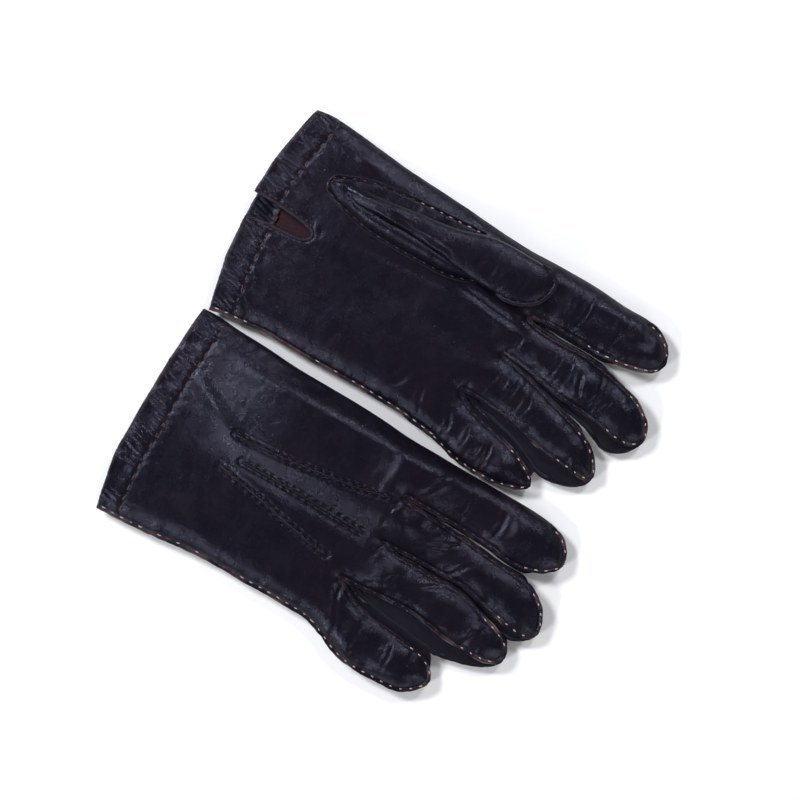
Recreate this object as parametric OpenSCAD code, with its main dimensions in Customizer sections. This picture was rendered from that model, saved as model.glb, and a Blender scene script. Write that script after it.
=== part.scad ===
// A pair of hand-sewn leather dress gloves lying side by side: the left one palm up, the right one back up.
// X runs from the cuffs to the fingertips, Y across the pair, Z up. Z = 0 is the surface the gloves lie on.

/* [Leather] */
// Thickness of the glove leather
leather_t = 1.2; // [0.9:0.1:1.3]
// Thickness of the turned hem inside the cuff
hem_t = 0.9; // [0.6:0.1:1.0]
// Width of the turned hem
hem_w = 15; // [12:1:18]

/* [Fullness] */
// Height of the hand of a glove as it lies
glove_h = 12; // [11:0.5:13]
// Height of the left thumb, which lies on the palm
thumb_h = 9.2; // [8:0.1:9.5]
// Height of the right thumb, which is tucked under the palm
tucked_h = 7.5; // [7:0.1:7.6]

/* [Vent] */
// Width of the slit at the wrist
vent_w = 8; // [6:1:9]
// Length of the slit, from its round end to the cuff
vent_l = 33; // [28:1:34]

/* [Stitching] */
// Radius of the sewing thread
thread_r = 0.35; // [0.25:0.05:0.4]
// Length of one visible stitch
stitch_l = 2.4; // [2:0.2:3]
// Distance from one stitch to the next
stitch_step = 6; // [6:0.5:8]

/* [Hidden] */
gap = 0.3; // each side of a finger joint
lift = 7.9; // rise of the right hand over its tucked thumb
SIDES = ["left", "right"];
FINGERS = ["index", "middle", "ring", "little"];
NODES = [for (s = SIDES) each concat(
  [for (n = ["trank_palm", "trank_back", "hem_facing", "vent_binding", "point_welts", "hem_stitches", "point_stitches",
    "side_seam_stitches", "thumb_seam_stitches", "thumb_base", "thumb_lower", "thumb_tip"]) str(s, "_", n)],
  [for (f = FINGERS) for (p = ["lower", "lower_fourchettes", "tip", "tip_fourchettes"]) str(s, "_", f, "_", p)])];

// Outline of each hand: [x, edge on the little-finger side, edge on the index side].
EDGE = [
  [[-126, 4.8, 127], [-100, 5.8, 127], [-80, 6.6, 124.6], [-60, 6.4, 122.4], [-20, 6.2, 119.6], [0, 5.6, 118], [20, 3.2, 117], [43, -1.6, 117.2]],
  [[-126, -120, 2.4], [-100, -119.4, 1.6], [-80, -118, 0.8], [-60, -116.4, -0.6], [-20, -116, -1.6], [0, -116, -3], [20, -119.2, -4.4], [43, -127, -4.6]]];
// Cuff edge: [y, x].
CUFF = [
  [[0, -114.5], [12, -118], [30, -121], [50, -122.5], [66, -123.5], [80, -125.5], [95, -124], [110, -121.5], [128, -117.5]],
  [[-121, -115], [-112, -119.6], [-100, -121], [-60, -121.4], [-20, -120], [3, -118]]];
// Columns of each hand, from the little side to the index side: [y at the knuckles, x of the knuckle line].
COLS = [
  [[1.8, 24.7], [5, 24.7], [9, 24.7], [14, 24.7], [23, 24.7], [31.5, 24.7], [33.2, 30.7], [46, 30.7], [60, 30.7], [61, 37.7], [72, 37.7],
   [84.4, 37.7], [86.2, 42.7], [98, 42.7], [106, 42.7], [110.5, 42.7], [114, 42.7], [117.2, 42.7]],
  [[-119.6, 20.7], [-116, 20.7], [-112, 20.7], [-107, 20.7], [-99, 20.7], [-91, 20.7], [-89.8, 27.7], [-76, 27.7], [-61.6, 27.7], [-60, 29.7],
   [-54, 29.7], [-47, 29.7], [-41, 29.7], [-34, 29.7], [-32.6, 29.7], [-22, 29.7], [-14, 29.7], [-10, 29.7], [-7, 29.7], [-4.6, 29.7]]];
ROWS = [0, 0.06, 0.1, 0.16, 0.24, 0.4, 0.56, 0.72, 0.84, 0.93, 1];

// Fingers: [x, outer edge on the index side, edge on the little side, height, rise]. The third row from the left end of
// each table that starts a tip follows the middle joint.
LOWER = [
  [[[43.3, 116.8, 87.2, 12, 0], [60, 116.6, 87, 12, 0], [77.7, 115, 86.2, 12, 0]],
   [[38.3, 82.5, 61.5, 12, 0], [60, 81.5, 57.5, 12, 0], [79.7, 80.5, 52.6, 12, 0]],
   [[31.3, 58.8, 34, 12, 0], [50, 56.4, 31.5, 12, 0], [69.7, 51, 23.5, 12, 0]],
   [[25.3, 30, 2, 12, 0], [40, 24.5, -1.5, 12, 0], [51.7, 21.5, -2.5, 12, 0]]],
  [[[30.3, -4.8, -32, 12, 0], [38, -4.8, -32.2, 12, 0], [46, -4.9, -32.6, 12, 0], [71.7, -5.6, -33, 12, 0]],
   [[30.3, -34.8, -59, 12, 0], [38, -35, -59.2, 12, 0], [46, -35.3, -59.4, 12, 0], [76.7, -38, -60.5, 12, 0]],
   [[28.3, -62.2, -90, 12, 0], [50, -62.4, -94.8, 12, 0], [71.7, -63.2, -98.4, 12, 0]],
   [[21.3, -91.4, -119.3, 12, 0], [35, -97.2, -125, 12, 0], [49.7, -99.9, -127.2, 12, 0]]]];
TIP = [
  [[[78.3, 115, 86.2, 12, 0], [92, 114.8, 87, 12, 0], [104, 112, 89.5, 10.6, 0.4], [110, 107.5, 92.5, 8, 1.4], [112.7, 103, 97.5, 4.4, 2.8]],
   [[80.3, 80.4, 52.4, 12, 0], [98, 77, 47.4, 12, 0], [110, 73, 44.4, 11, 0.3], [118, 68, 48, 8.4, 1.2], [122.6, 60, 54.5, 4.4, 2.8]],
   [[70.3, 50.8, 23.2, 12, 0], [80, 48.2, 15, 12, 0], [95, 42.6, 15.2, 11.4, 0.2], [104, 36, 19, 8.8, 1], [108.6, 28.5, 23.5, 4.4, 2.8]],
   [[52.3, 21.4, -2.6, 12, 0], [62, 18.6, -2.4, 11.6, 0.1], [71, 14.6, -0.8, 10, 0.6], [78, 10, 1.6, 7.4, 1.6], [81, 7, 3.2, 4.4, 2.8]]],
  [[[72.3, -5.6, -33, 12, 0], [90, -6, -35, 12, 0], [104, -7.8, -34, 11, 0.3], [112, -11, -31, 8.6, 1.2], [117.6, -18.5, -24, 4.4, 2.8]],
   [[77.3, -38, -60.6, 12, 0], [95, -39.3, -65, 12, 0], [108, -42, -68.8, 11, 0.3], [117, -46.8, -69, 8.6, 1.2], [124.5, -57.5, -63.5, 4.4, 2.8]],
   [[72.3, -63.3, -98.4, 12, 0], [88, -66.4, -98, 12, 0], [102, -71.4, -95.2, 10.8, 0.3], [110, -75.5, -91.4, 8.2, 1.3], [114.7, -81, -86, 4.4, 2.8]],
   [[50.3, -99.9, -127.2, 12, 0], [62, -101.2, -127.2, 11.6, 0.1], [73, -102.8, -125.4, 10, 0.6], [81, -106, -121.4, 7.4, 1.6], [85.6, -111.5, -115.5, 4.4, 2.8]]]];
// Thumbs: [x, edge on the index side, edge on the little side].
THUMB_BASE = [
  [[-90, 96.5, 91.5], [-78, 101.5, 87.5], [-60, 104.5, 83.5], [-35, 107.5, 83], [-8.3, 110.2, 84.5]],
  [[-88, -28, -33], [-76, -23.5, -37], [-60, -20, -39.5], [-40, -15.5, -39], [-22.3, -11.6, -37.5]]];
THUMB_LOWER = [[[-7.7, 110, 86.8], [17.7, 112, 87.2]], [[-21.7, -11.4, -36], [2.7, -9.6, -34.8]]];
THUMB_TIP = [
  [[18.3, 112, 87.2, 1], [30, 111.8, 88.4, 0.96], [36.5, 109.4, 92, 0.78], [41, 104.5, 98.5, 0.5]],
  [[3.3, -9.6, -34.8, 1], [15, -10, -33.6, 0.96], [22, -12, -30.4, 0.78], [27, -17, -23.5, 0.5]]];
HOLE = [
  [[-86, 94.5], [-76, 99], [-60, 102.5], [-35, 105.5], [-10, 108], [-10, 86.5], [-35, 85], [-60, 85.5], [-76, 89.5]],
  [[-84, -30.5], [-74, -25.6], [-60, -22], [-40, -17.5], [-24, -13.8], [-24, -35.6], [-40, -37], [-60, -37.4], [-74, -34.8]]];
VENT_Y = [64.5, -60];
VENT_X = [-93, -90]; // centre of the vent's round end
// Points: the three raised rows on the back of each hand.
POINTS = [
  [[[-70, 80], [-30, 77], [14, 70]], [[-60, 66.5], [-20, 66.8], [14, 67.2]], [[-69, 58.5], [-30, 54], [4, 46]]],
  [[[-70, -47.5], [-30, -44.5], [16, -37.5]], [[-60, -59], [-20, -59.3], [16, -60.3]], [[-69, -67], [-30, -74.5], [4, -80.5]]]];

function lerp(a, b, t) = a + (b - a) * t;
function clamp1(t) = max(0, min(1, t));
function sstep(t) = let (u = clamp1(t)) u * u * (3 - 2 * u);
function seg(tab, x, k = 0) = (k >= len(tab) - 2 || x <= tab[k + 1][0]) ? k : seg(tab, x, k + 1);
function at(tab, x, c) = let (k = seg(tab, x)) lerp(tab[k][c], tab[k + 1][c], clamp1((x - tab[k][0]) / (tab[k + 1][0] - tab[k][0])));
// Rise of the right hand over its tucked thumb.
function rise(g, x, y) = g == 0 ? 0 : lift * sstep((x + 112) / 20) * sstep((50 - x) / 22) * sstep((y + 60) / 16);
// How far a hand's surface stands off its middle plane: thin at the edges, full inside.
function off(g, x, y) = let (d = min(y - at(EDGE[g], x, 1), at(EDGE[g], x, 2) - y)) lerp(leather_t, glove_h / 2, sstep(d / 11));
function mid(g, x, y) = rise(g, x, y) + glove_h / 2;
// The face that is up is the palm on the left glove and the back on the right one.
function up(g, palm) = (g == 0) == palm ? 1 : -1;
function skin(g, palm, x, y, inset = 0) = mid(g, x, y) + up(g, palm) * (off(g, x, y) - inset);
function colx(g, j, r, len_x = 0) = let (xe = COLS[g][j][1], xc = at(CUFF[g], coly(g, j, -118), 1)) len_x > 0 ? xc + r * len_x : lerp(xc, xe, r);
function coly(g, j, x) = let (xe = COLS[g][j][1], f = (COLS[g][j][0] - at(EDGE[g], xe, 1)) / (at(EDGE[g], xe, 2) - at(EDGE[g], xe, 1)))
  lerp(at(EDGE[g], x, 1), at(EDGE[g], x, 2), f);

// A curved sheet between an outer and an inner grid of nx by ny points.
module sheet(outer, inner, nx, ny, flip = false) {
  n = nx * ny;
  q = function(a, b, c, d) flip ? [[a, c, b], [a, d, c]] : [[a, b, c], [a, c, d]];
  i2 = function(i, j) i * ny + j;
  faces = concat(
    [for (i = [0:nx - 2]) for (j = [0:ny - 2]) each q(i2(i, j), i2(i, j + 1), i2(i + 1, j + 1), i2(i + 1, j))],
    [for (i = [0:nx - 2]) for (j = [0:ny - 2]) each q(n + i2(i, j), n + i2(i + 1, j), n + i2(i + 1, j + 1), n + i2(i, j + 1))],
    [for (i = [0:nx - 2]) each q(i2(i, 0), i2(i + 1, 0), n + i2(i + 1, 0), n + i2(i, 0))],
    [for (i = [0:nx - 2]) each q(i2(i, ny - 1), n + i2(i, ny - 1), n + i2(i + 1, ny - 1), i2(i + 1, ny - 1))],
    [for (j = [0:ny - 2]) each q(i2(0, j), n + i2(0, j), n + i2(0, j + 1), i2(0, j + 1))],
    [for (j = [0:ny - 2]) each q(i2(nx - 1, j), i2(nx - 1, j + 1), n + i2(nx - 1, j + 1), n + i2(nx - 1, j))]);
  polyhedron(points = concat(outer, inner), faces = faces, convexity = 8);
}
// A bar swept through closed rings of m points. Each ring runs anticlockwise seen from +X. A ring that goes out along one
// side of a skin and back along the other has its ends closed in quads, point by point.
module bar(rings, paired = true) {
  m = len(rings[0]);
  k = len(rings);
  sides = [for (i = [0:k - 2]) for (j = [0:m - 1]) let (a = i * m + j, b = i * m + (j + 1) % m) each [[a, b + m, b], [a, a + m, b + m]]];
  polyhedron(points = [for (r = rings) each r],
    faces = concat(paired ? [for (j = [0:m / 2 - 2]) [j, j + 1, m - 2 - j, m - 1 - j]] : [[for (j = [0:m - 1]) j]], sides,
      paired ? [for (j = [0:m / 2 - 2]) let (c = (k - 1) * m) [c + m - 1 - j, c + m - 2 - j, c + j + 1, c + j]] : [[for (j = [m - 1:-1:0]) (k - 1) * m + j]]),
    convexity = 6);
}
// A tube with outer rings and inner rings. It is open at the first ring, and closed at the last if there is one inner ring less.
module tube(outer, inner) {
  m = len(outer[0]);
  k = len(outer);
  ki = len(inner);
  n = k * m;
  out = [for (i = [0:k - 2]) for (j = [0:m - 1]) let (a = i * m + j, b = i * m + (j + 1) % m) each [[a, b + m, b], [a, a + m, b + m]]];
  in = [for (i = [0:ki - 2]) for (j = [0:m - 1]) let (a = n + i * m + j, b = n + i * m + (j + 1) % m) each [[a, b, b + m], [a, b + m, a + m]]];
  first = [for (j = [0:m - 1]) let (a = j, b = (j + 1) % m) each [[a, b, n + b], [a, n + b, n + a]]];
  last = ki < k
    ? [[for (j = [m - 1:-1:0]) (k - 1) * m + j], [for (j = [0:m - 1]) n + (ki - 1) * m + j]]
    : [for (j = [0:m - 1]) let (a = (k - 1) * m + j, b = (k - 1) * m + (j + 1) % m, c = n + (ki - 1) * m) each [[a, c + (j + 1) % m, b], [a, c + j, c + (j + 1) % m]]];
  polyhedron(points = concat([for (r = outer) each r], [for (r = inner) each r]), faces = concat(out, in, first, last), convexity = 6);
}

module hand_sheet(g, palm, rows, in0, in1, len_x = 0) {
  ny = len(COLS[g]);
  pt = function(j, r, inset) let (x = colx(g, j, r, len_x), y = coly(g, j, x)) [x, y, skin(g, palm, x, y, inset)];
  sheet([for (r = rows) for (j = [0:ny - 1]) pt(j, r, in0)], [for (r = rows) for (j = [0:ny - 1]) pt(j, r, in1)], len(rows), ny,
    up(g, palm) < 0);
}
module vent_shape(g, grow = 0) {
  translate([VENT_X[g] - 40, VENT_Y[g] - vent_w / 2 - grow]) square([40 + vent_l - 33, vent_w + 2 * grow]);
  translate([VENT_X[g] + vent_l - 33, VENT_Y[g]]) circle(r = vent_w / 2 + grow, $fn = 32);
}
module vent_cut(g, grow = 0) translate([0, 0, -20]) linear_extrude(60) vent_shape(g, grow);

module trank_palm(g) color([0.12, 0.11, 0.15]) difference() {
  hand_sheet(g, true, ROWS, 0, leather_t);
  vent_cut(g);
  translate([0, 0, -20]) linear_extrude(60) polygon(HOLE[g]);
}
// The points are tucks in the back, so each row lies in a shallow groove of it.
module trank_back(g) color([0.12, 0.11, 0.15]) difference() {
  hand_sheet(g, false, ROWS, 0, leather_t);
  for (p = POINTS[g]) point_row(g, p, 0.9, 0.6, 1.2);
}
module point_row(g, p, w, deep, proud) {
  u = up(g, false);
  rings = [for (q = p) let (z = skin(g, false, q[0], q[1])) [[q[0], q[1] - w, z - u * deep], [q[0], q[1] + w, z - u * deep],
    [q[0], q[1] + w * 0.6, z + u * proud], [q[0], q[1] - w * 0.6, z + u * proud]]];
  bar(u > 0 ? rings : [for (r = rings) rev(r)]);
}
module point_welts(g) color([0.09, 0.08, 0.11]) for (p = POINTS[g]) {
  ends = [p[0] + [0.6, 0], p[1], p[2] - [0.6, 0]];
  point_row(g, ends, 0.6, 0.5, g == 0 ? 0 : 0.6);
}
module hem_facing(g) color([0.16, 0.1, 0.1]) {
  difference() {
    hand_sheet(g, true, [0, 0.5, 1], leather_t + 0.15, leather_t + 0.15 + hem_t, hem_w);
    vent_cut(g);
    hem_trim(g);
  }
  difference() {
    hand_sheet(g, false, [0, 0.5, 1], leather_t + 0.15, leather_t + 0.15 + hem_t, hem_w);
    hem_trim(g);
  }
}
// The hem stops short of both side edges, where palm and back meet.
module hem_trim(g) {
  translate([-140, EDGE[g][0][1] - 10, -20]) cube([60, 22, 60]);
  translate([-140, EDGE[g][0][2] - 12, -20]) cube([60, 24, 60]);
}
module vent_binding(g) color([0.08, 0.08, 0.1]) {
  z = skin(g, true, -105, VENT_Y[g]);
  u = up(g, true);
  translate([0, 0, u > 0 ? z - leather_t - 0.2 : z - 0.1]) linear_extrude(leather_t + 0.3) difference() {
    vent_shape(g, -0.05);
    vent_shape(g, -1.2);
    translate([-200, VENT_Y[g] - 20]) square([200 + at(CUFF[g], VENT_Y[g], 1), 40]);
  }
}

// One stitch: a short length of thread lying at angle a on a surface.
module stitch(p, a, tilt = 0) translate(p) rotate([tilt, 0, a]) rotate([0, 90, 0]) cylinder(r = thread_r, h = stitch_l, center = true, $fn = 16);
module on_skin(g, palm, x, y, a) stitch([x, y, skin(g, palm, x, y) + up(g, palm) * (g == 0 && !palm ? -thread_r : g == 1 && palm ? -thread_r : thread_r)], a);
module hem_stitches(g) color([0.5, 0.33, 0.3]) for (palm = [true, false])
  for (y = [EDGE[g][0][1] + 14:stitch_step:EDGE[g][0][2] - 13])
    if (!palm || abs(y - VENT_Y[g]) > vent_w / 2 + 3) on_skin(g, palm, at(CUFF[g], y, 1) + hem_w - 1, y, 90);
module point_stitches(g) color([0.5, 0.33, 0.3]) for (p = POINTS[g]) for (s = [0, 1])
  let (a = p[s], b = p[s + 1], l = norm(b - a), n = floor(l / stitch_step))
    for (i = [0:n - 1]) let (q = lerp(a, b, (i + 0.7) / n))
      stitch([q[0], q[1] + 1.6, skin(g, false, q[0], q[1] + 1.6) + (g == 0 ? thread_r : thread_r)], atan2(b[1] - a[1], b[0] - a[0]));
module side_seam_stitches(g) color([0.72, 0.58, 0.54]) for (x = [-108:stitch_step:18]) {
  y = at(EDGE[g], x, 1) + 2;
  stitch([x, y, skin(g, g == 0, x, y) + thread_r * 0.6], 0);
}
module thumb_seam_stitches(g) color([0.72, 0.58, 0.54]) for (s = [0:len(THUMB_BASE[g]) - 2])
  for (k = [1, 2]) let (a = THUMB_BASE[g][s], b = THUMB_BASE[g][s + 1], l = b[0] - a[0], n = max(1, floor(l / stitch_step)))
    for (i = [0:n - 1]) let (x = lerp(a[0], b[0], (i + 0.5) / n), y = lerp(a[k], b[k], (i + 0.5) / n) + (k == 1 ? 1.6 : -1.6))
      stitch([x, y, skin(g, true, x, y) + up(g, true) * thread_r * 0.6], atan2(b[k] - a[k], l));

// Finger skins. q is [x, index-side edge, little-side edge, height, rise].
function fz(g, q) = q[4] + rise(g, q[0], (q[1] + q[2]) / 2);
function fe(q) = 0.06 * (q[1] - q[2]);
function fc(q) = max(0.2 * (q[1] - q[2]), fe(q) + leather_t + 0.3);
function rev(r) = [for (i = [len(r) - 1:-1:0]) r[i]];
// The outline from one edge of the upper strip round to the other.
function arc_out(q, m, s) = let (a = q[3] * 0.34, b = q[3] / 2)
  [[q[0], q[1] - fe(q), m + s * a], [q[0], q[1] - fc(q), m + s * b], [q[0], q[2] + fc(q), m + s * b], [q[0], q[2] + fe(q), m + s * a]];
function arc_in(q, m, s) = let (t = leather_t, a = max(q[3] * 0.34 - t, 0.4), b = max(q[3] / 2 - t, 0.5))
  [[q[0], q[1] - fe(q), m + s * a], [q[0], q[1] - fc(q), m + s * b], [q[0], q[2] + fc(q), m + s * b], [q[0], q[2] + fe(q), m + s * a]];
function strip(g, q, s) = let (m = fz(g, q) + q[3] / 2) s > 0 ? concat(arc_out(q, m, 1), rev(arc_in(q, m, 1))) : concat(rev(arc_out(q, m, -1)), arc_in(q, m, -1));
// A side wall between the strips, ending just short of them.
function wall(g, q, index_side) = let (m = fz(g, q) + q[3] / 2, t = leather_t, e = fe(q), a = max(0.3, q[3] * 0.34 - t - 0.06), y = index_side ? q[1] : q[2],
    s = index_side ? -1 : 1, r = [[q[0], y + s * e, m - a], [q[0], y, m], [q[0], y + s * e, m + a], [q[0], y + s * (e + t), m + a],
    [q[0], y + s * (t + 0.2), m], [q[0], y + s * (e + t), m - a]]) index_side ? r : rev(r);
// Both strips and the fold or seam between them, in one piece: open on the other side.
function wrap(g, q, index_side) = let (m = fz(g, q) + q[3] / 2, t = leather_t, e = fe(q), c = fc(q), ao = q[3] * 0.34, bo = q[3] / 2,
    ai = max(ao - t, 0.4), bi = max(bo - t, 0.5), y = index_side ? q[1] : q[2], z = index_side ? q[2] : q[1], s = index_side ? -1 : 1,
    r = [[q[0], z - s * e, m - ao], [q[0], z - s * c, m - bo], [q[0], y + s * c, m - bo], [q[0], y + s * e, m - ao], [q[0], y, m], [q[0], y + s * e, m + ao],
      [q[0], y + s * c, m + bo], [q[0], z - s * c, m + bo], [q[0], z - s * e, m + ao], [q[0], z - s * e, m + ai], [q[0], z - s * c, m + bi], [q[0], y + s * c, m + bi],
      [q[0], y + s * (e + t * 0.8), m + ai], [q[0], y + s * (t + 0.1), m], [q[0], y + s * (e + t * 0.8), m - ai], [q[0], y + s * c, m - bi], [q[0], z - s * c, m - bi], [q[0], z - s * e, m - ai]])
  index_side ? r : rev(r);
function whole(g, q, k, dx) = let (m = fz(g, q) + q[3] / 2, a = q[3] * 0.34 * k, b = q[3] / 2 * k, e = fe(q), c = fc(q), x = q[0] + dx)
  [[x, q[1] - e, m + a], [x, q[1] - c, m + b], [x, q[2] + c, m + b], [x, q[2] + e, m + a], [x, q[2], m],
   [x, q[2] + e, m - a], [x, q[2] + c, m - b], [x, q[1] - c, m - b], [x, q[1] - e, m - a], [x, q[1], m]];
module finger_leather(g, f, rows, col, tip = false) color(col) {
  if (f == 0) bar([for (q = rows) wrap(g, q, true)]);
  else if (f == 3) bar([for (q = rows) wrap(g, q, false)]);
  else {
    bar([for (q = rows) strip(g, q, 1)]);
    bar([for (q = rows) strip(g, q, -1)]);
  }
  if (tip) let (q = rows[len(rows) - 1]) bar([whole(g, q, 0.98, -0.05), whole(g, q, 0.9, 0.7)], false);
}
module finger_walls(g, f, rows, col) color(col) {
  if (f > 0) bar([for (q = rows) wall(g, q, true)]);
  if (f < 3) bar([for (q = rows) wall(g, q, false)]);
}

// Thumbs. The left one lies on the palm; the right one is tucked under it.
function tz(g) = g == 0 ? glove_h + gap : 0;
function th(g) = g == 0 ? thumb_h : tucked_h;
module thumb_tube(g, rows, tip = false) color([0.12, 0.11, 0.15]) {
  place = [for (q = rows) let (h = th(g) * (len(q) > 3 ? q[3] : 1))
    [q[0], q[1], q[2], h, tz(g) + (th(g) - h) * (g == 0 ? 0.35 : 0.6) - rise(g, q[0], (q[1] + q[2]) / 2)]];
  outer = [for (q = place) whole(g, q, 1, 0)];
  inner = [for (q = place) whole(g, [q[0], q[1] - leather_t, q[2] + leather_t, q[3] - 2 * leather_t, q[4] + leather_t], 1, tip ? -0.6 : 0)];
  tube(outer, tip ? concat([whole(g, [rows[0][0], place[0][1] - leather_t, place[0][2] + leather_t, place[0][3] - 2 * leather_t, place[0][4] + leather_t], 1, 0)],
    [for (i = [1:len(inner) - 2]) inner[i]]) : inner);
}
// The part of the thumb that is sewn into the palm: an arch over the thumb hole.
module thumb_base(g) color([0.12, 0.11, 0.15]) {
  u = up(g, true);
  n = len(THUMB_BASE[g]) - 1;
  rings = [for (i = [0:n]) let (q = THUMB_BASE[g][i], x = q[0], w = q[1] - q[2], t = leather_t, k = [0.34, 0.72, 0.92, 1, 1][i],
      h = th(g) * k, f1 = skin(g, true, x, q[1]) + u * 0.12, f2 = skin(g, true, x, q[2]) + u * 0.12,
      zt = (g == 0 ? tz(g) + h : th(g) - h), e = min(t, 0.25 * w), c = max(0.22 * w, e + 0.2))
    [[x, q[2], f2], [x, q[2], lerp(f2, zt, 0.55)], [x, q[2] + c, zt], [x, q[1] - c, zt], [x, q[1], lerp(f1, zt, 0.55)], [x, q[1], f1],
     [x, q[1] - e, f1], [x, q[1] - e, lerp(f1, zt, 0.5)], [x, q[1] - c, zt - u * t], [x, q[2] + c, zt - u * t], [x, q[2] + e, lerp(f2, zt, 0.5)], [x, q[2] + e, f2]]];
  bar(u > 0 ? [for (r = rings) rev(r)] : rings);
}

module part(g, n) {
  if (n == 0) trank_palm(g);
  if (n == 1) trank_back(g);
  if (n == 2) hem_facing(g);
  if (n == 3) vent_binding(g);
  if (n == 4) point_welts(g);
  if (n == 5) hem_stitches(g);
  if (n == 6) point_stitches(g);
  if (n == 7) side_seam_stitches(g);
  if (n == 8) thumb_seam_stitches(g);
  if (n == 9) thumb_base(g);
  if (n == 10) thumb_tube(g, THUMB_LOWER[g]);
  if (n == 11) thumb_tube(g, THUMB_TIP[g], true);
  if (n > 11) let (f = floor((n - 12) / 4), k = (n - 12) % 4) {
    if (k == 0) finger_leather(g, f, LOWER[g][f], [0.12, 0.11, 0.15]);
    if (k == 1) finger_walls(g, f, LOWER[g][f], [0.08, 0.07, 0.09]);
    if (k == 2) finger_leather(g, f, TIP[g][f], [0.12, 0.11, 0.15], true);
    if (k == 3) finger_walls(g, f, TIP[g][f], [0.08, 0.07, 0.09]);
  }
}
for (i = [0:len(NODES) - 1]) part(floor(i / 28), i % 28);
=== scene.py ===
import math

import bpy
import numpy as np
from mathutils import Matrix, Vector
from mathutils.kdtree import KDTree


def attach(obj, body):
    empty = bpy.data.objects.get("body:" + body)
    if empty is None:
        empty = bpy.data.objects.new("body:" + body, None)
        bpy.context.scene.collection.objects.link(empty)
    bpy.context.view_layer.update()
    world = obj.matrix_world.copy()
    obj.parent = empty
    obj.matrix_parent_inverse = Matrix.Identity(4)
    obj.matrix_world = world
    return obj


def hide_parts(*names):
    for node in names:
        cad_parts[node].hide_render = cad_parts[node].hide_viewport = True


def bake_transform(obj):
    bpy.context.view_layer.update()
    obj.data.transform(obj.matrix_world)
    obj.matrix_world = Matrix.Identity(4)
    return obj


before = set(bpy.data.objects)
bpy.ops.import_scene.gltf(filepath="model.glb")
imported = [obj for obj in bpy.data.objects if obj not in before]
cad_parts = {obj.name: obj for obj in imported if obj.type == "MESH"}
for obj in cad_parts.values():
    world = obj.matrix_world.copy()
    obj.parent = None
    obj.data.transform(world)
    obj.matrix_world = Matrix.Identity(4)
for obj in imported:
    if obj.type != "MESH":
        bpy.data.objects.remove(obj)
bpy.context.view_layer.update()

# ------------------------------------------------------------------ camera
scene = bpy.context.scene
YAW = math.radians(29.5)
cam_data = bpy.data.cameras.new("camera")
cam = bpy.data.objects.new("camera", cam_data)
scene.collection.objects.link(cam)
cam_data.sensor_width = 36
cam_data.lens = 36 * 1.2 / 0.432
cam_data.clip_start = 0.02
cam_data.clip_end = 20
cam.location = (-0.00235, 0.01163, 1.21)
cam.rotation_euler = (0, 0, YAW)
scene.camera = cam
scene.view_settings.view_transform = "Standard"

# ------------------------------------------------------------------ curves and fields, all in millimetres
NH, NV, NF, NC = 200, 48, 112, 38
LW = 1.8  # width of a seam's lip
T = 0.95  # leather


def resample(c, n):
    s = np.r_[0, np.cumsum(np.linalg.norm(np.diff(c, axis=0), axis=1))]
    t = np.linspace(0, s[-1], n)
    return np.stack([np.interp(t, s, c[:, k]) for k in range(c.shape[1])], 1)


def curve(pts, n=None, dense=20):
    p = np.asarray(pts, float)
    d = np.linalg.norm(np.diff(p, axis=0), axis=1)
    m = np.zeros_like(p)
    m[0], m[-1] = (p[1] - p[0]) / d[0], (p[-1] - p[-2]) / d[-1]
    if len(p) > 2:
        a, b = d[:-1, None], d[1:, None]
        m[1:-1] = ((p[2:] - p[1:-1]) / b * a + (p[1:-1] - p[:-2]) / a * b) / (a + b)
    t = np.linspace(0, 1, dense, endpoint=False)[:, None]
    out = []
    for i in range(len(p) - 1):
        out.append(
            (2 * t**3 - 3 * t**2 + 1) * p[i]
            + (t**3 - 2 * t**2 + t) * d[i] * m[i]
            + (-2 * t**3 + 3 * t**2) * p[i + 1]
            + (t**3 - t**2) * d[i] * m[i + 1]
        )
    c = np.vstack(out + [p[-1:]])
    return resample(c, n) if n else c


def sst(t):
    t = np.clip(t, 0, 1)
    return t * t * (3 - 2 * t)


def noise(P, scale, seed=0):
    q = np.asarray(P, float) / scale + seed * 17.31
    i = np.floor(q)
    f = q - i
    u = f * f * f * (f * (f * 6 - 15) + 10)

    def h(a, b):
        v = np.sin(a * 127.1 + b * 311.7 + seed * 74.7) * 43758.5453
        return 2 * (v - np.floor(v)) - 1

    x, y = i[:, 0], i[:, 1]
    top = h(x, y) * (1 - u[:, 0]) + h(x + 1, y) * u[:, 0]
    bot = h(x, y + 1) * (1 - u[:, 0]) + h(x + 1, y + 1) * u[:, 0]
    return top * (1 - u[:, 1]) + bot * u[:, 1]


def nearest(P, C, chunk=4000):
    """Distance from each point to the nearest point of C, and its index."""
    D = np.empty(len(P))
    J = np.empty(len(P), int)
    C32 = C[:, :2].astype(np.float32)
    for k in range(0, len(P), chunk):
        q = P[k : k + chunk, :2].astype(np.float32)
        d = (q[:, None, 0] - C32[None, :, 0]) ** 2 + (q[:, None, 1] - C32[None, :, 1]) ** 2
        j = d.argmin(1)
        J[k : k + chunk] = j
        D[k : k + chunk] = np.sqrt(d[np.arange(len(q)), j])
    return D, J


def near_line(P, pts, reach):
    """Distance to a curve and how far along it, for the points within reach (others get reach * 2)."""
    c = curve(pts)
    c = resample(c, max(8, int(np.linalg.norm(np.diff(c, axis=0), axis=1).sum() / 0.5)))
    lo, hi = c.min(0) - reach, c.max(0) + reach
    m = (P[:, 0] > lo[0]) & (P[:, 0] < hi[0]) & (P[:, 1] > lo[1]) & (P[:, 1] < hi[1])
    D = np.full(len(P), reach * 2.0)
    S = np.zeros(len(P))
    if m.any():
        d, j = nearest(P[m], c)
        D[m] = d
        S[m] = j / (len(c) - 1)
    return D, S


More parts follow.
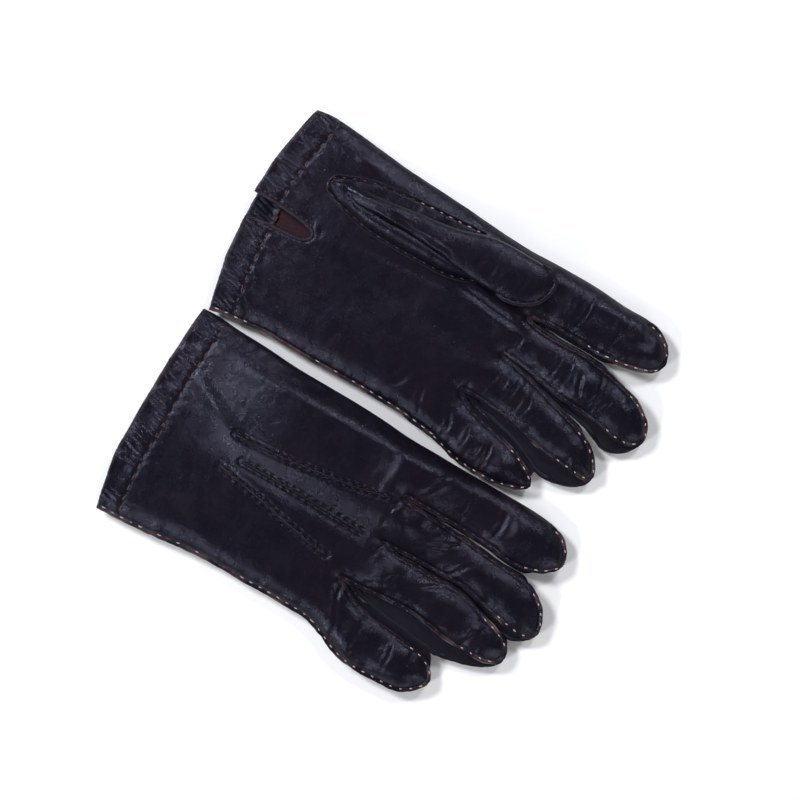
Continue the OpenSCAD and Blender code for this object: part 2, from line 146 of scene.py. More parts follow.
# ------------------------------------------------------------------ outlines
CUFF = [
    [(3.5, -115.5), (10, -118), (20, -120), (35, -122), (50, -123), (62, -123.8), (72, -125.6), (80, -125.6), (95, -124), (110, -121), (126.5, -118)],
    [(-120, -116), (-117, -118), (-110, -120), (-100, -121), (-60, -121.5), (-40, -121), (-20, -120), (-10, -119), (3, -118.5)],
]


def cuff_x(g, y):
    c = curve(CUFF[g])
    return np.interp(y, c[:, 0], c[:, 1])


HAND = [
    [
        [(-115.5, 3.5), (-110, 4.3), (-100, 5.0), (-90, 6.2), (-60, 5.9), (-20, 5.8), (0, 5.0), (10, 3.8), (22, 2.2)],
        [(-121.8, 34), (-60, 33.5), (25, 32.5)],
        [(-123.9, 64.5), (-87, 64.8), (-20, 62.5), (35, 60.7)],
        [(-124, 95), (-60, 92), (37, 84.8)],
        [(-118, 126.5), (-110, 127.5), (-100, 127), (-90, 126), (-80, 124.8), (-60, 122.5), (-40, 121.2), (-20, 119.8), (0, 118), (20, 117), (38, 117.4)],
    ],
    [
        [(-116, -120), (-110, -120), (-100, -119.8), (-85, -118.8), (-70, -117), (-60, -116.2), (-30, -116), (0, -116.2), (10, -116.7), (19, -119)],
        [(-120.9, -88), (-60, -88), (18, -88.3)],
        [(-121.5, -60), (-60, -60), (28, -60.5)],
        [(-120.6, -32), (-60, -32.3), (27, -32.6)],
        [(-118.5, 2.6), (-110, 2.8), (-100, 1.8), (-80, 0.9), (-60, -0.6), (-40, -1), (-20, -1.4), (0, -2.6), (10, -3.6), (30, -4)],
    ],
]
VENT = [
    ([(-123.6, 57.6), (-110, 59.4), (-100, 60), (-92, 60.9), (-88.3, 62.6), (-87, 64.8)], [(-125.5, 72), (-110, 71), (-100, 70), (-92, 68.5), (-88.1, 66.9), (-87, 64.8)]),
    ([(-121.5, -64.2), (-100, -64), (-93, -63.2), (-88.4, -61.8), (-87, -60)], [(-121.5, -55.8), (-100, -56), (-93, -56.8), (-88.4, -58.2), (-87, -60)]),
]
# Each finger: outline of the strip that is up, then of the strip below it. Low is the little-finger side.
FIN = [
    {
        "little": {
            "tip": (82.2, 5.6),
            "up_low": [(22, 2.2), (30, 0), (40, -2.4), (47, -3.3), (56, -3.5), (65, -2.9), (72, -1.2), (78, 1.2), (81, 3.4)],
            "up_high": [(25, 32.5), (30, 29), (40, 25.5), (50, 23), (60, 20.5), (70, 16.6), (75, 13.8), (80, 10)],
        },
        "ring": {
            "tip": (109.5, 27),
            "up_low": [(25, 32.5), (32, 32.6), (40, 32), (50, 31), (60, 29), (70, 26.5), (80, 24.5), (90, 23.5), (100, 22.5), (106, 22.8)],
            "up_high": [(35, 60.7), (42, 59.8), (50, 58), (60, 55.3), (70, 52.3), (80, 49.4), (90, 45.8), (100, 40.5), (105, 35.8), (108.2, 31)],
            "dn_low": [(25, 32.5), (32, 30.5), (40, 27.8), (50, 25), (60, 22.2), (70, 18.4), (76, 15.2), (82, 13), (90, 12.8), (96, 14), (102, 16.4), (106, 19.4), (108.6, 23)],
        },
        "middle": {
            "tip": (123.6, 57.5),
            "up_low": [(35, 60.7), (42, 60), (50, 58.8), (60, 56.6), (70, 54.7), (80, 53.8), (90, 53.2), (100, 51.6), (107, 50), (113, 49.6), (118, 50.8), (121.6, 53.4)],
            "up_high": [(37, 84.8), (43, 83.3), (50, 82.5), (60, 82.4), (70, 82.7), (80, 81.9), (90, 80.1), (100, 77.8), (110, 74.6), (117, 70), (121, 65.6), (123, 61.5)],
            "dn_low": [(35, 60.7), (50, 57.6), (60, 55.2), (70, 52.8), (80, 50.4), (90, 48.2), (98, 45), (105, 42.2), (110, 42.2), (115, 44.4), (119.5, 48.2), (122.6, 53)],
        },
        "index": {
            "tip": (113.7, 98.5),
            "up_low": [(37, 84.8), (44, 85.7), (52, 86), (62, 85.9), (72, 85.5), (80, 85.2), (90, 86), (100, 87.8), (105, 89.2), (110, 91.8), (112.6, 95)],
            "up_high": [(38, 117.4), (60, 117.2), (80, 115.6), (94, 115.4), (100, 114.3), (105, 112), (110, 107.6), (112.9, 102.4)],
        },
    },
    {
        "little": {
            "tip": (86.6, -112.6),
            "up_low": [(19, -119), (25, -121.8), (35, -126), (45, -127.8), (60, -127.6), (68, -127.4), (75, -126), (80, -123), (83.6, -119.6), (86, -116)],
            "up_high": [(18, -88.3), (23, -90.4), (30, -94.2), (40, -97), (50, -98.6), (60, -99.6), (70, -100.6), (76, -102), (81, -104.6), (85, -108.8)],
        },
        "ring": {
            "tip": (115.9, -82),
            "up_low": [(18, -88.3), (28, -88), (40, -87), (50, -86.1), (60, -86.2), (70, -87.4), (80, -89.3), (90, -90), (100, -90.2), (108, -89.6), (112.6, -87.6), (115.2, -84.6)],
            "up_high": [(28, -60.5), (36, -61), (50, -61.3), (62, -61.5), (75, -61.7), (85, -63.6), (95, -67), (105, -70.2), (110, -72.6), (113.4, -75.4), (115.4, -79)],
            "dn_low": [(18, -88.3), (28, -90.6), (40, -94.6), (50, -96.2), (60, -97.2), (70, -98.6), (80, -99.4), (90, -98.5), (100, -96), (108, -92.6), (113, -88.8), (115.3, -85.4)],
        },
        "middle": {
            "tip": (125.2, -61.8),
            "up_low": [(28, -60.5), (40, -60.3), (60, -60.1), (70, -60), (77, -60.5), (85, -62), (93, -64), (102, -66), (110, -67.6), (116, -68.2), (121, -67), (124, -64.6)],
            "up_high": [(27, -32.6), (33, -33.6), (45, -34.3), (60, -35.2), (80, -37), (92, -38.1), (102, -39), (110, -41.2), (116, -44.8), (121, -49.6), (124.2, -56)],
            "dn_low": [(28, -60.5), (42, -61), (60, -62), (75, -63.4), (90, -67), (100, -70.6), (108, -73), (113.5, -72.8), (118, -70.6), (122, -67.6), (124.4, -64.6)],
        },
        "index": {
            "tip": (118.6, -21.6),
            "up_low": [(27, -32.6), (34, -33), (45, -33.2), (60, -33.6), (72, -34), (84, -35.4), (94, -36.3), (101, -35.6), (107, -33.8), (112, -31.4), (116, -28.2), (118.2, -24.4)],
            "up_high": [(30, -4), (40, -4.3), (60, -4.6), (80, -4.8), (92, -5.2), (100, -6), (105, -7), (110, -8.8), (114.2, -12), (117.4, -16.6)],
        },
    },
]
NAMES = ["little", "ring", "middle", "index"]
FOLD_END = [92, 101]  # where the index fold ends and the tip seam starts
SIDE = ["left", "right"]
LIFT = 7.9


def rise(g, P):
    if g == 0:
        return np.zeros(len(P))
    x, y = P[:, 0], P[:, 1]
    r = LIFT * sst((x + 118) / 75) * sst((60 - x) / 34) * sst((y + 70) / 27)
    return r * (1 - 0.62 * sst((y + 15) / 12))


def smooth_rows(a, k):
    for _ in range(k):
        b = a.copy()
        b[1:-1] = 0.25 * a[:-2] + 0.5 * a[1:-1] + 0.25 * a[2:]
        a = b
    return a


def outline(g, upper):
    """The four column groups of one sheet: low and high edges from cuff to fingertip, and the sheet's real edges."""
    slit = upper if g == 0 else not upper
    lines = []
    for k in range(5):
        both = []
        for which in (0, 1):
            c = curve(HAND[g][k])
            y0 = c[0, 1]
            c[0, 0] = cuff_x(g, y0)
            cut = c[:, 0] > -87
            at = np.array([[-87.0, np.interp(-87, c[:, 0], c[:, 1])]])
            first = np.vstack([c[~cut], at])
            if k == 2 and slit:
                first = curve(VENT[g][which])
                first[0, 0] = cuff_x(g, first[0, 1])
                at = first[-1:]
            rest = np.vstack([at, c[cut & (c[:, 0] > -86.5)]])
            both.append(np.vstack([resample(first, NV), resample(rest, NH - NV + 1)[1:]]))
        lines.append(both)
    groups, edges = [], []
    for j, f in enumerate(NAMES):
        d = FIN[g][f]
        low_pts = d["up_low"] if upper else d.get("dn_low", d["up_low"])
        high_pts = d["up_high"]
        tip = np.array(d["tip"], float)
        if not upper and f in ("ring", "middle"):
            high_pts = [high_pts[0]] + [(x, y - 1.4 * min(1, i / 3)) for i, (x, y) in enumerate(high_pts) if i]
        low = curve(list(low_pts) + [tuple(tip + (-0.02, -0.25))], NF)
        high = curve(list(high_pts) + [tuple(tip + (-0.02, 0.25))], NF)
        lo = np.vstack([lines[j][1], low[1:]])
        hi = np.vstack([lines[j + 1][0], high[1:]])
        groups.append((lo, hi))
        for c, k in ((low, 0), (high, 1)):
            dist = np.linalg.norm(c - tip, axis=1)
            if (f, k) == ("index", 1):
                lip = sst((c[:, 0] - FOLD_END[g]) / 4)
                h0 = T * lip
            elif (f, k) == ("little", 0):
                lip, h0 = np.ones(len(c)), np.full(len(c), T)
            else:
                lip = np.ones(len(c))
                h0 = T + (3.0 - T) * sst((dist - 3) / 14)
            edges.append((c, h0, lip, np.full(len(c), 9.0)))
    n = len(lines[0][0])
    wide = 9 + 4 * sst((20 - lines[0][0][:, 0]) / 50)
    edges.append((lines[0][0], np.full(n, T), np.ones(n), wide))
    edges.append((lines[4][0], np.zeros(n), np.zeros(n), wide))
    if slit:
        for which in (0, 1):
            c = lines[2][which][:NV]
            edges.append((c, np.full(len(c), 4.7), np.zeros(len(c)), np.full(len(c), 3.0)))
    return groups, edges


V_COS = 0.5 - 0.5 * np.cos(np.pi * np.linspace(0, 1, NC))
V = 0.4 * V_COS + 0.6 * np.linspace(0, 1, NC)


def crease(P, pts, depth, width, ridge=0.0, side=0):
    """A fold line in the leather: a groove of that depth, with a raised lip beside it."""
    fine = 1.0 if width < 1.6 else 0.25
    Q = P + 0.85 * fine * np.stack([noise(P, 6.5, 51), noise(P, 6.5, 52)], 1)
    D, S = near_line(Q, pts, width * 6)
    fade = np.clip(np.sin(np.pi * np.clip(S * 0.96 + 0.02, 0, 1)), 0, 1) ** 0.7 * (1 - fine * np.clip(0.4 - 0.75 * noise(P, 5.5, 53), -0.3, 0.88))
    return fade * (-depth * np.exp(-((D / width) ** 2)) + ridge * np.exp(-(((D - 2.1 * width) / (1.3 * width)) ** 2)))


def swell(P, cx, cy, rx, ry, h, ang=0.0):
    a = math.radians(ang)
    dx, dy = P[:, 0] - cx, P[:, 1] - cy
    u = (dx * math.cos(a) + dy * math.sin(a)) / rx
    v = (-dx * math.sin(a) + dy * math.cos(a)) / ry
    return h * np.exp(-(u * u + v * v))


def features(g, upper, P, edge_d):
    """How far the surface stands out from its plain crowned form."""
    x, y = P[:, 0], P[:, 1]
    z = 0.5 * noise(P * (0.8, 1.0), 30, 1 + g) + 0.3 * noise(P, 14, 3 + g) + 0.09 * noise(P, 6, 5 + g)
    z += 0.05 * noise(P, 2.6, 9 + g) + 0.035 * noise(P * (1.0, 0.6), 1.7, 10 + g)
    z += 0.16 * (0.5 - np.abs(noise(P * (0.7, 1.0), 11, 12 + g))) + 0.09 * (0.5 - np.abs(noise(P * (1.0, 0.75), 6.5, 13 + g)))
    z *= 0.62 + 0.38 * sst((x - 18) / 20) if upper else 1.0
    inside = sst((edge_d - 0.4) / 4)
    z *= 0.35 + 0.65 * inside
    # gathers along the hem
    dc = x - cuff_x(g, np.clip(y, -121, 127))
    along = noise(np.stack([y, y * 0], 1), 4.4, 21 + g) + 0.5 * noise(np.stack([y, dc * 0.4], 1), 2.3, 23 + g)
    if g == 0:
        strong = 0.3 + np.exp(-(((y - 91) / 7) ** 2)) + np.exp(-(((y - 48) / 10) ** 2)) + 0.5 * np.exp(-(((y - 20) / 8) ** 2))
    else:
        strong = 0.35 + np.exp(-(((y + 27) / 20) ** 2)) + np.exp(-(((y + 87) / 12) ** 2))
    band = sst(dc / 3) * (1 - sst((dc - 12.6) / 3.0))
    slant = np.stack([y + 0.5 * dc, dc * 0.22], 1)
    fold = 1 - 2.2 * np.abs(noise(slant, 5.2, 24 + g)) ** 0.8
    tuck = 1 - 2.2 * np.abs(noise(slant * (1.0, 1.6), 3.1, 25 + g)) ** 0.8
    phase = 2 * np.pi * (y + 0.3 * dc + 1.3 * noise(np.stack([y, dc * 0.6], 1), 8, 26 + g)) / 3.15
    amount = np.clip(0.5 + 0.8 * noise(np.stack([y, dc * 0.5], 1), 5.5, 27 + g), 0.1, 1.2)
    z += band * (0.42 + 0.5 * strong) * amount * (0.5 + 0.5 * np.cos(phase)) ** 1.6 * 1.5
    z += band * strong * (0.3 * along + 0.2 * fold + 0.1 * tuck - 0.2)
    z += 0.12 * amount * np.cos(phase) * np.exp(-(((dc - 18) / 2.6) ** 2)) * strong
    beat = np.cos(2 * np.pi * (y - 2.0) / 6.4)
    z += -(0.42 + 0.16 * beat) * np.exp(-(((dc - 14.2) / 1.0) ** 2)) + 0.32 * np.exp(-(((dc - 10.8) / 3.0) ** 2)) * sst(dc / 3)
    z += 0.14 * beat * np.exp(-(((dc - 11.6) / 2.2) ** 2)) + 0.12 * beat * np.exp(-(((dc - 17) / 1.8) ** 2))
    z += (0.14 + 0.12 * strong) * fold * np.exp(-(((dc - 18.5) / 3.6) ** 2))
    # gathers along the sewn edges
    lip_zone = np.exp(-(((edge_d - 4.2) / 2.2) ** 2))
    z += 0.26 * lip_zone * noise(np.stack([x, y * 0.35], 1), 3.4, 31 + g)
    if upper == (g == 1):
        for pts in POINTS[g]:
            D, S = near_line(P, pts, 7)
            c = curve(pts)
            run = S * np.linalg.norm(np.diff(c, axis=0), axis=1).sum()
            z += np.where(D < 7, (-0.3 - 0.22 * np.cos(2 * np.pi * run / 4.6)) * np.exp(-(((D - 1.7) / 0.75) ** 2)) + 0.16 * np.exp(-(((D - 3.6) / 1.4) ** 2)), 0)
    far = sst((x - 22) / 14)
    z += far * (0.75 * noise(P * (1.0, 0.6), 13, 61 + g) + 0.32 * noise(P * (0.8, 1.0), 6.2, 62 + g) + 0.10 * noise(P * (1.0, 0.6), 4.4, 63 + g))
    if upper:
        for f in LINES[g]:
            z += (1.35 if f[2] < 1.8 else 1.0 if f[1] > 0.8 else 0.5) * crease(P, *f)
        for s in SWELLS[g]:
            z += 2.3 * swell(P, *s)
    return z


POINTS = [
    [[(-70, 80), (-30, 77), (14, 70)], [(-60, 66.5), (-20, 66.8), (14, 67.2)], [(-69, 58.5), (-30, 54), (4, 46)]],
    [
        [(-70, -47.8), (-60, -47.5), (-40, -45.8), (-20, -43.4), (0, -40.6), (20, -36.2)],
        [(-60, -59), (-40, -59), (-20, -59.3), (0, -59.9), (16, -60.5)],
        [(-69, -67), (-60, -68.6), (-40, -72.4), (-20, -76.6), (-6, -79.4), (4, -80.7)],
    ],
]

# Fold lines (points, depth, width, ridge) and soft swellings (x, y, rx, ry, height, angle) of the face that is up.
LINES = [
    [
        ([(5, 23), (7, 16), (10, 9)], 0.5, 0.9, 0.3),
        ([(24, 20), (27, 12), (26, 6)], 0.5, 1.0, 0.35),
        ([(36, 20), (39, 12), (38, 5)], 0.4, 0.9, 0.3),
        ([(44, 19), (47, 11), (46, 3)], 0.45, 0.9, 0.3),
        ([(52, 17), (54, 10), (53, 2)], 0.4, 0.8, 0.3),
        ([(34, 57), (36, 48), (34, 38)], 0.45, 0.9, 0.35),
        ([(41, 56), (42.5, 46), (41, 37)], 0.4, 0.8, 0.3),
        ([(48, 55), (49, 45), (47, 36)], 0.5, 0.9, 0.35),
        ([(53, 53), (54.5, 44), (53, 35)], 0.35, 0.7, 0.25),
        ([(58, 51), (59.5, 42), (57, 34)], 0.35, 0.8, 0.25),
        ([(61, 79), (63, 70), (61.5, 60)], 0.35, 0.8, 0.3),
        ([(68, 79), (70, 69), (69, 58)], 0.5, 0.9, 0.35),
        ([(75, 79), (78, 68), (80, 58)], 0.6, 1.1, 0.4),
        ([(87, 77), (88.5, 68), (86, 58)], 0.4, 0.8, 0.3),
        ([(95, 74), (96, 66), (94, 57)], 0.35, 0.8, 0.3),
        ([(52, 114), (54, 104), (52.5, 92)], 0.35, 0.7, 0.25),
        ([(60, 114), (62, 103), (61, 91)], 0.35, 0.8, 0.3),
        ([(80, 112), (82.5, 102), (81.5, 92)], 0.4, 0.8, 0.3),
        ([(-6, 81.5), (8, 80), (22, 78.4), (40, 76)], 0.9, 1.9, 0.8),
        ([(30, 30), (10, 34), (-20, 40), (-50, 44)], 0.35, 3.0, 0.3),
        ([(28, 52), (0, 56), (-40, 60), (-80, 60)], 0.3, 3.4, 0.25),
        ([(-84, 72), (-60, 74), (-30, 76), (5, 78)], 0.5, 2.2, 0.35),
        ([(-100, 118), (-70, 117), (-40, 116)], 0.3, 2.4, 0.25),
        ([(33, 62), (37, 66), (39, 74)], 0.5, 1.1, 0.3),
        ([(-15, 14), (-8, 20), (-4, 30)], 0.25, 1.6, 0.2),
        ([(-60, 12), (-52, 20), (-50, 30)], 0.22, 2.0, 0.2),
    ],
    [
        ([(42, -10), (37, -18), (33, -25), (27, -33)], 0.55, 1.2, 0.5),
        ([(24, -34), (22, -42), (22, -52)], 0.45, 1.2, 0.4),
        ([(30, -60), (27, -64), (25, -69)], 0.5, 1.2, 0.4),
        ([(42, -53), (52, -48), (65, -41)], 0.45, 1.0, 0.4),
        ([(66, -58), (72, -52), (78, -44)], 0.45, 1.0, 0.4),
        ([(45, -80), (56, -72), (68, -64)], 0.55, 1.1, 0.45),
        ([(30, -84), (38, -78), (44, -66)], 0.3, 1.4, 0.3),
        ([(90, -88), (94, -80), (99, -73)], 0.35, 1.0, 0.3),
        ([(19, -91), (23, -103), (28, -118)], 0.55, 1.0, 0.5),
        ([(38, -103), (41, -112), (40, -122)], 0.3, 1.0, 0.25),
        ([(58, -103), (61, -112), (60, -122)], 0.3, 0.9, 0.25),
        ([(56, -9), (60, -18), (58, -29)], 0.4, 1.0, 0.35),
        ([(76, -9), (79, -18), (77, -30)], 0.35, 1.0, 0.3),
        ([(-62, -100), (-30, -104), (5, -102)], 0.3, 2.6, 0.25),
        ([(-96, -14), (-70, -10), (-40, -9)], 0.35, 2.4, 0.3),
        ([(-104, -24), (-84, -38), (-62, -50)], 0.1, 2.6, 0.15),
        ([(8, -6), (12, -20), (9, -38)], 0.35, 2.0, 0.3),
    ],
]
SWELLS = [
    [(86, 67, 9, 8, 0.6, 0), (64, 9, 5, 5, 0.4, 0), (105, 98, 7, 7, 0.4, 0), (-81, 115, 8, 4, 0.5, 0), (-30, 35, 34, 15, 0.66, 0), (15, 45, 16, 12, 0.5, 0)],
    [
        (-85, -41, 20, 4.4, 0.76, -28),
        (16, -22, 6.5, 16, 0.8, 0),
        (52, -15, 9, 7, 0.5, 0),
        (91, -19, 9, 9, 0.6, 0),
        (84, -52, 9, 6, 0.6, -45),
        (34, -46, 5, 5, 0.5, 0),
        (36, -75, 8, 7, 0.6, -45),
        (70, -79, 9, 8, 0.5, 0),
        (94, -76, 5, 6, 0.4, 0),
    ],
]


def flutter(P):
    """The sewn edges are not cut quite straight."""
    return 0.26 * np.stack([noise(P, 4.1, 35), noise(P, 4.1, 36)], 1) + 0.1 * np.stack([noise(P, 1.9, 37), noise(P, 1.9, 38)], 1)


class Sheet:
    def __init__(self, g, upper):
        self.g, self.upper = g, upper
        self.s = 1 if upper else -1
        groups, edges = outline(g, upper)
        self.groups = groups
        P = np.stack([lo[:, None] + V[None, :, None] * (hi - lo)[:, None] for lo, hi in groups])  # group, row, column, xy
        shape = P.shape[:3]
        flat = P.reshape(-1, 2)
        key = np.round(flat * 2000).astype(np.int64)
        _, first, inv = np.unique(key, axis=0, return_index=True, return_inverse=True)
        self.idx = inv.reshape(shape)
        Q = flat[first]
        C = np.vstack([resample(e[0], max(len(e[0]), 2)) for e in edges])
        h0s = np.concatenate([e[1] for e in edges])
        lips = np.concatenate([e[2] for e in edges])
        Rs = np.concatenate([e[3] for e in edges])
        d, j = nearest(Q, C)
        h0, lip, R = h0s[j], lips[j], Rs[j]
        H = 4.9 + 1.1 * sst((Q[:, 0] + 122) / 55)
        for f in NAMES:
            tip = np.array(FIN[g][f]["tip"])
            r = np.linalg.norm(Q - tip, axis=1)
            H -= 1.5 * sst((22 - r) / 22)
        t = np.clip((d - lip * LW) / R, 0, 1)
        fing = sst((Q[:, 0] - 10) / 30)
        c = (1 - (1 - t) ** 2.05) ** (0.72 + 0.2 * fing)
        off = h0 + (np.maximum(H, h0) - h0) * c
        # smooth the field where the nearest edge changes
        F = off[self.idx]
        for _ in range(3):
            G = F.copy()
            G[:, 1:-1, 1:-1] = 0.4 * F[:, 1:-1, 1:-1] + 0.15 * (F[:, :-2, 1:-1] + F[:, 2:, 1:-1] + F[:, 1:-1, :-2] + F[:, 1:-1, 2:])
            F = G
        sm = np.zeros(len(Q))
        cnt = np.zeros(len(Q))
        np.add.at(sm, self.idx.ravel(), F.ravel())
        np.add.at(cnt, self.idx.ravel(), 1)
        keep = np.clip((d - 3.2) / 2, 0, 1)
        off = off * (1 - keep) + sm / cnt * keep
        ft = features(g, upper, Q, d)
        ft *= np.clip(d / 2.2, 0.12, 1)
        groove = -0.42 * np.exp(-(((d - LW - 0.35) / 0.42) ** 2)) * lip
        beads = 0.16 * np.exp(-(((d - LW * 0.45) / 0.7) ** 2)) * lip
        off = off + ft + groove + beads
        mid = 6 + rise(g, Q)
        z = mid + self.s * off
        if not upper:
            # what stands out of the underside keeps the leather just off the ground there
            clear = 0.04 + 0.25 * (0.5 + 0.5 * noise(Q, 5, 4))
            dc0 = Q[:, 0] - cuff_x(g, np.clip(Q[:, 1], -120, 126.5))
            clear = np.maximum(clear, 0.75 * np.exp(-(((dc0 - 14.2) / 3.2) ** 4)))
            for pts in POINTS[0] if g == 0 else VENT[1]:
                D, _ = near_line(Q, [tuple(p) for p in pts], 9)
                clear = np.maximum(clear, np.where(D < 9, 1.3 * np.exp(-((D / 3.6) ** 2)), 0))
            z = np.maximum(z, clear)
        wl = np.exp(-((d / 2.0) ** 2)) * lip
        z = z + 0.22 * noise(Q, 5.2, 33 + g) * wl * (1 if upper or g == 0 else 0)
        Q = Q + flutter(Q) * wl[:, None]
        self.P = np.column_stack([Q, z])
        self.d, self.lip = d, lip
        self.dc = Q[:, 0] - cuff_x(g, np.clip(Q[:, 1], -120, 126.5))
        a, b = self.idx[:, :-1, :-1], self.idx[:, 1:, :-1]
        c_, e = self.idx[:, 1:, 1:], self.idx[:, :-1, 1:]
        self.quads = np.stack([a, b, c_, e], -1)  # group, row, column, 4
        if not upper:
            self.quads = self.quads[..., ::-1]
        self.N = normals(self.P, self.quads.reshape(-1, 4))
        self.tree = None

    def at(self, x, y):
        if self.tree is None:
            self.tree = KDTree(len(self.P))
            for i, p in enumerate(self.P):
                self.tree.insert((p[0], p[1], 0), i)
            self.tree.balance()
        _, i, _ = self.tree.find((x, y, 0))
        return self.P[i], self.N[i]


def normals(P, quads):
    n = np.cross(P[quads[:, 2]] - P[quads[:, 0]], P[quads[:, 3]] - P[quads[:, 1]])
    N = np.zeros_like(P)
    for k in range(4):
        np.add.at(N, quads[:, k], n)
    return N / np.maximum(np.linalg.norm(N, axis=1, keepdims=True), 1e-12)


# ------------------------------------------------------------------ materials
def mat(name):
    m = bpy.data.materials.new(name)
    m.use_nodes = True
    return m, m.node_tree.nodes, m.node_tree.links, m.node_tree.nodes["Principled BSDF"]


def leather(name, dark, warm, rough=0.275, grain=0.2, sheen=0.0, wear=(0.34, 0.22, 0.20), coat=0.0):
    m, n, l, b = mat(name)
    pos = n.new("ShaderNodeAttribute")
    pos.attribute_name = "rest"

    def tex(kind, scale, **kw):
        t = n.new(kind)
        t.inputs["Scale"].default_value = scale
        for k, v in kw.items():
            t.inputs[k].default_value = v
        l.new(pos.outputs["Vector"], t.inputs["Vector"])
        return t

    patches = tex("ShaderNodeTexNoise", 38, Detail=4, Roughness=0.6)
    ramp = n.new("ShaderNodeMapRange")
    ramp.inputs["From Min"].default_value, ramp.inputs["From Max"].default_value = 0.4, 0.66
    l.new(patches.outputs["Fac"], ramp.inputs["Value"])
    mix = n.new("ShaderNodeMix")
    mix.data_type = "RGBA"
    mix.inputs["A"].default_value, mix.inputs["B"].default_value = (*dark, 1), (*warm, 1)
    l.new(ramp.outputs["Result"], mix.inputs["Factor"])
    fine = tex("ShaderNodeTexNoise", 900, Detail=3, Roughness=0.6)
    shade = n.new("ShaderNodeMapRange")
    shade.inputs["From Min"].default_value, shade.inputs["From Max"].default_value = 0.3, 0.7
    shade.inputs["To Min"].default_value, shade.inputs["To Max"].default_value = 0.78, 1.22
    l.new(fine.outputs["Fac"], shade.inputs["Value"])
    mul = n.new("ShaderNodeMix")
    mul.data_type, mul.blend_type = "RGBA", "MULTIPLY"
    mul.inputs["Factor"].default_value = 1
    l.new(mix.outputs["Result"], mul.inputs["A"])
    l.new(shade.outputs["Result"], mul.inputs["B"])
    worn = n.new("ShaderNodeAttribute")
    worn.attribute_name = "wear"
    wn = tex("ShaderNodeTexNoise", 260, Detail=4, Roughness=0.65)
    wm = n.new("ShaderNodeMath")
    wm.operation = "MULTIPLY"
    l.new(worn.outputs["Fac"], wm.inputs[0])
    l.new(wn.outputs["Fac"], wm.inputs[1])
    edge = n.new("ShaderNodeMix")
    edge.data_type = "RGBA"
    edge.inputs["B"].default_value = (*wear, 1)
    l.new(wm.outputs["Value"], edge.inputs["Factor"])
    l.new(mul.outputs["Result"], edge.inputs["A"])
    l.new(edge.outputs["Result"], b.inputs["Base Color"])
    rn = tex("ShaderNodeTexNoise", 90, Detail=5, Roughness=0.6)
    rr = n.new("ShaderNodeMapRange")
    rr.inputs["From Min"].default_value, rr.inputs["From Max"].default_value = 0.3, 0.7
    rr.inputs["To Min"].default_value, rr.inputs["To Max"].default_value = rough - 0.05, rough + 0.06
    l.new(rn.outputs["Fac"], rr.inputs["Value"])
    l.new(rr.outputs["Result"], b.inputs["Roughness"])
    cell = tex("ShaderNodeTexVoronoi", 1150, Randomness=1.0)
    cell.feature = "DISTANCE_TO_EDGE"
    cr = n.new("ShaderNodeMapRange")
    cr.inputs["From Max"].default_value = 0.22
    l.new(cell.outputs["Distance"], cr.inputs["Value"])
    b1 = n.new("ShaderNodeBump")
    b1.inputs["Strength"].default_value, b1.inputs["Distance"].default_value = grain * 1.7, 0.00014
    l.new(cr.outputs["Result"], b1.inputs["Height"])
    soft = tex("ShaderNodeTexNoise", 1050, Detail=2.0, Roughness=0.5)
    b2 = n.new("ShaderNodeBump")
    b2.inputs["Strength"].default_value, b2.inputs["Distance"].default_value = grain * 1.4, 0.00021
    l.new(soft.outputs["Fac"], b2.inputs["Height"])
    l.new(b1.outputs["Normal"], b2.inputs["Normal"])
    l.new(b2.outputs["Normal"], b.inputs["Normal"])
    b.inputs["Specular IOR Level"].default_value = 0.30
    b.inputs["Sheen Weight"].default_value = sheen
    b.inputs["Sheen Roughness"].default_value = 0.45
    b.inputs["Sheen Tint"].default_value = (0.62, 0.66, 1.0, 1)
    b.inputs["Specular Tint"].default_value = (0.74, 0.74, 1.0, 1)
    b.inputs["Coat Weight"].default_value = coat
    b.inputs["Coat Roughness"].default_value = 0.35
    return m


def fibrous(name, c1, c2, scale, rough=0.9, bump=0.6, dist=0.0002, sheen=0.3):
    m, n, l, b = mat(name)
    pos = n.new("ShaderNodeAttribute")
    pos.attribute_name = "rest"
    t = n.new("ShaderNodeTexNoise")
    t.inputs["Scale"].default_value, t.inputs["Detail"].default_value, t.inputs["Roughness"].default_value = scale, 7, 0.7
    l.new(pos.outputs["Vector"], t.inputs["Vector"])
    r = n.new("ShaderNodeMapRange")
    r.inputs["From Min"].default_value, r.inputs["From Max"].default_value = 0.32, 0.68
    l.new(t.outputs["Fac"], r.inputs["Value"])
    mix = n.new("ShaderNodeMix")
    mix.data_type = "RGBA"
    mix.inputs["A"].default_value, mix.inputs["B"].default_value = (*c1, 1), (*c2, 1)
    l.new(r.outputs["Result"], mix.inputs["Factor"])
    l.new(mix.outputs["Result"], b.inputs["Base Color"])
    rr = n.new("ShaderNodeMapRange")
    rr.inputs["To Min"].default_value, rr.inputs["To Max"].default_value = rough - 0.08, min(1, rough + 0.08)
    l.new(t.outputs["Fac"], rr.inputs["Value"])
    l.new(rr.outputs["Result"], b.inputs["Roughness"])
    bu = n.new("ShaderNodeBump")
    bu.inputs["Strength"].default_value, bu.inputs["Distance"].default_value = bump, dist
    l.new(t.outputs["Fac"], bu.inputs["Height"])
    l.new(bu.outputs["Normal"], b.inputs["Normal"])
    b.inputs["Specular IOR Level"].default_value = 0.25
    b.inputs["Sheen Weight"].default_value = sheen
    return m


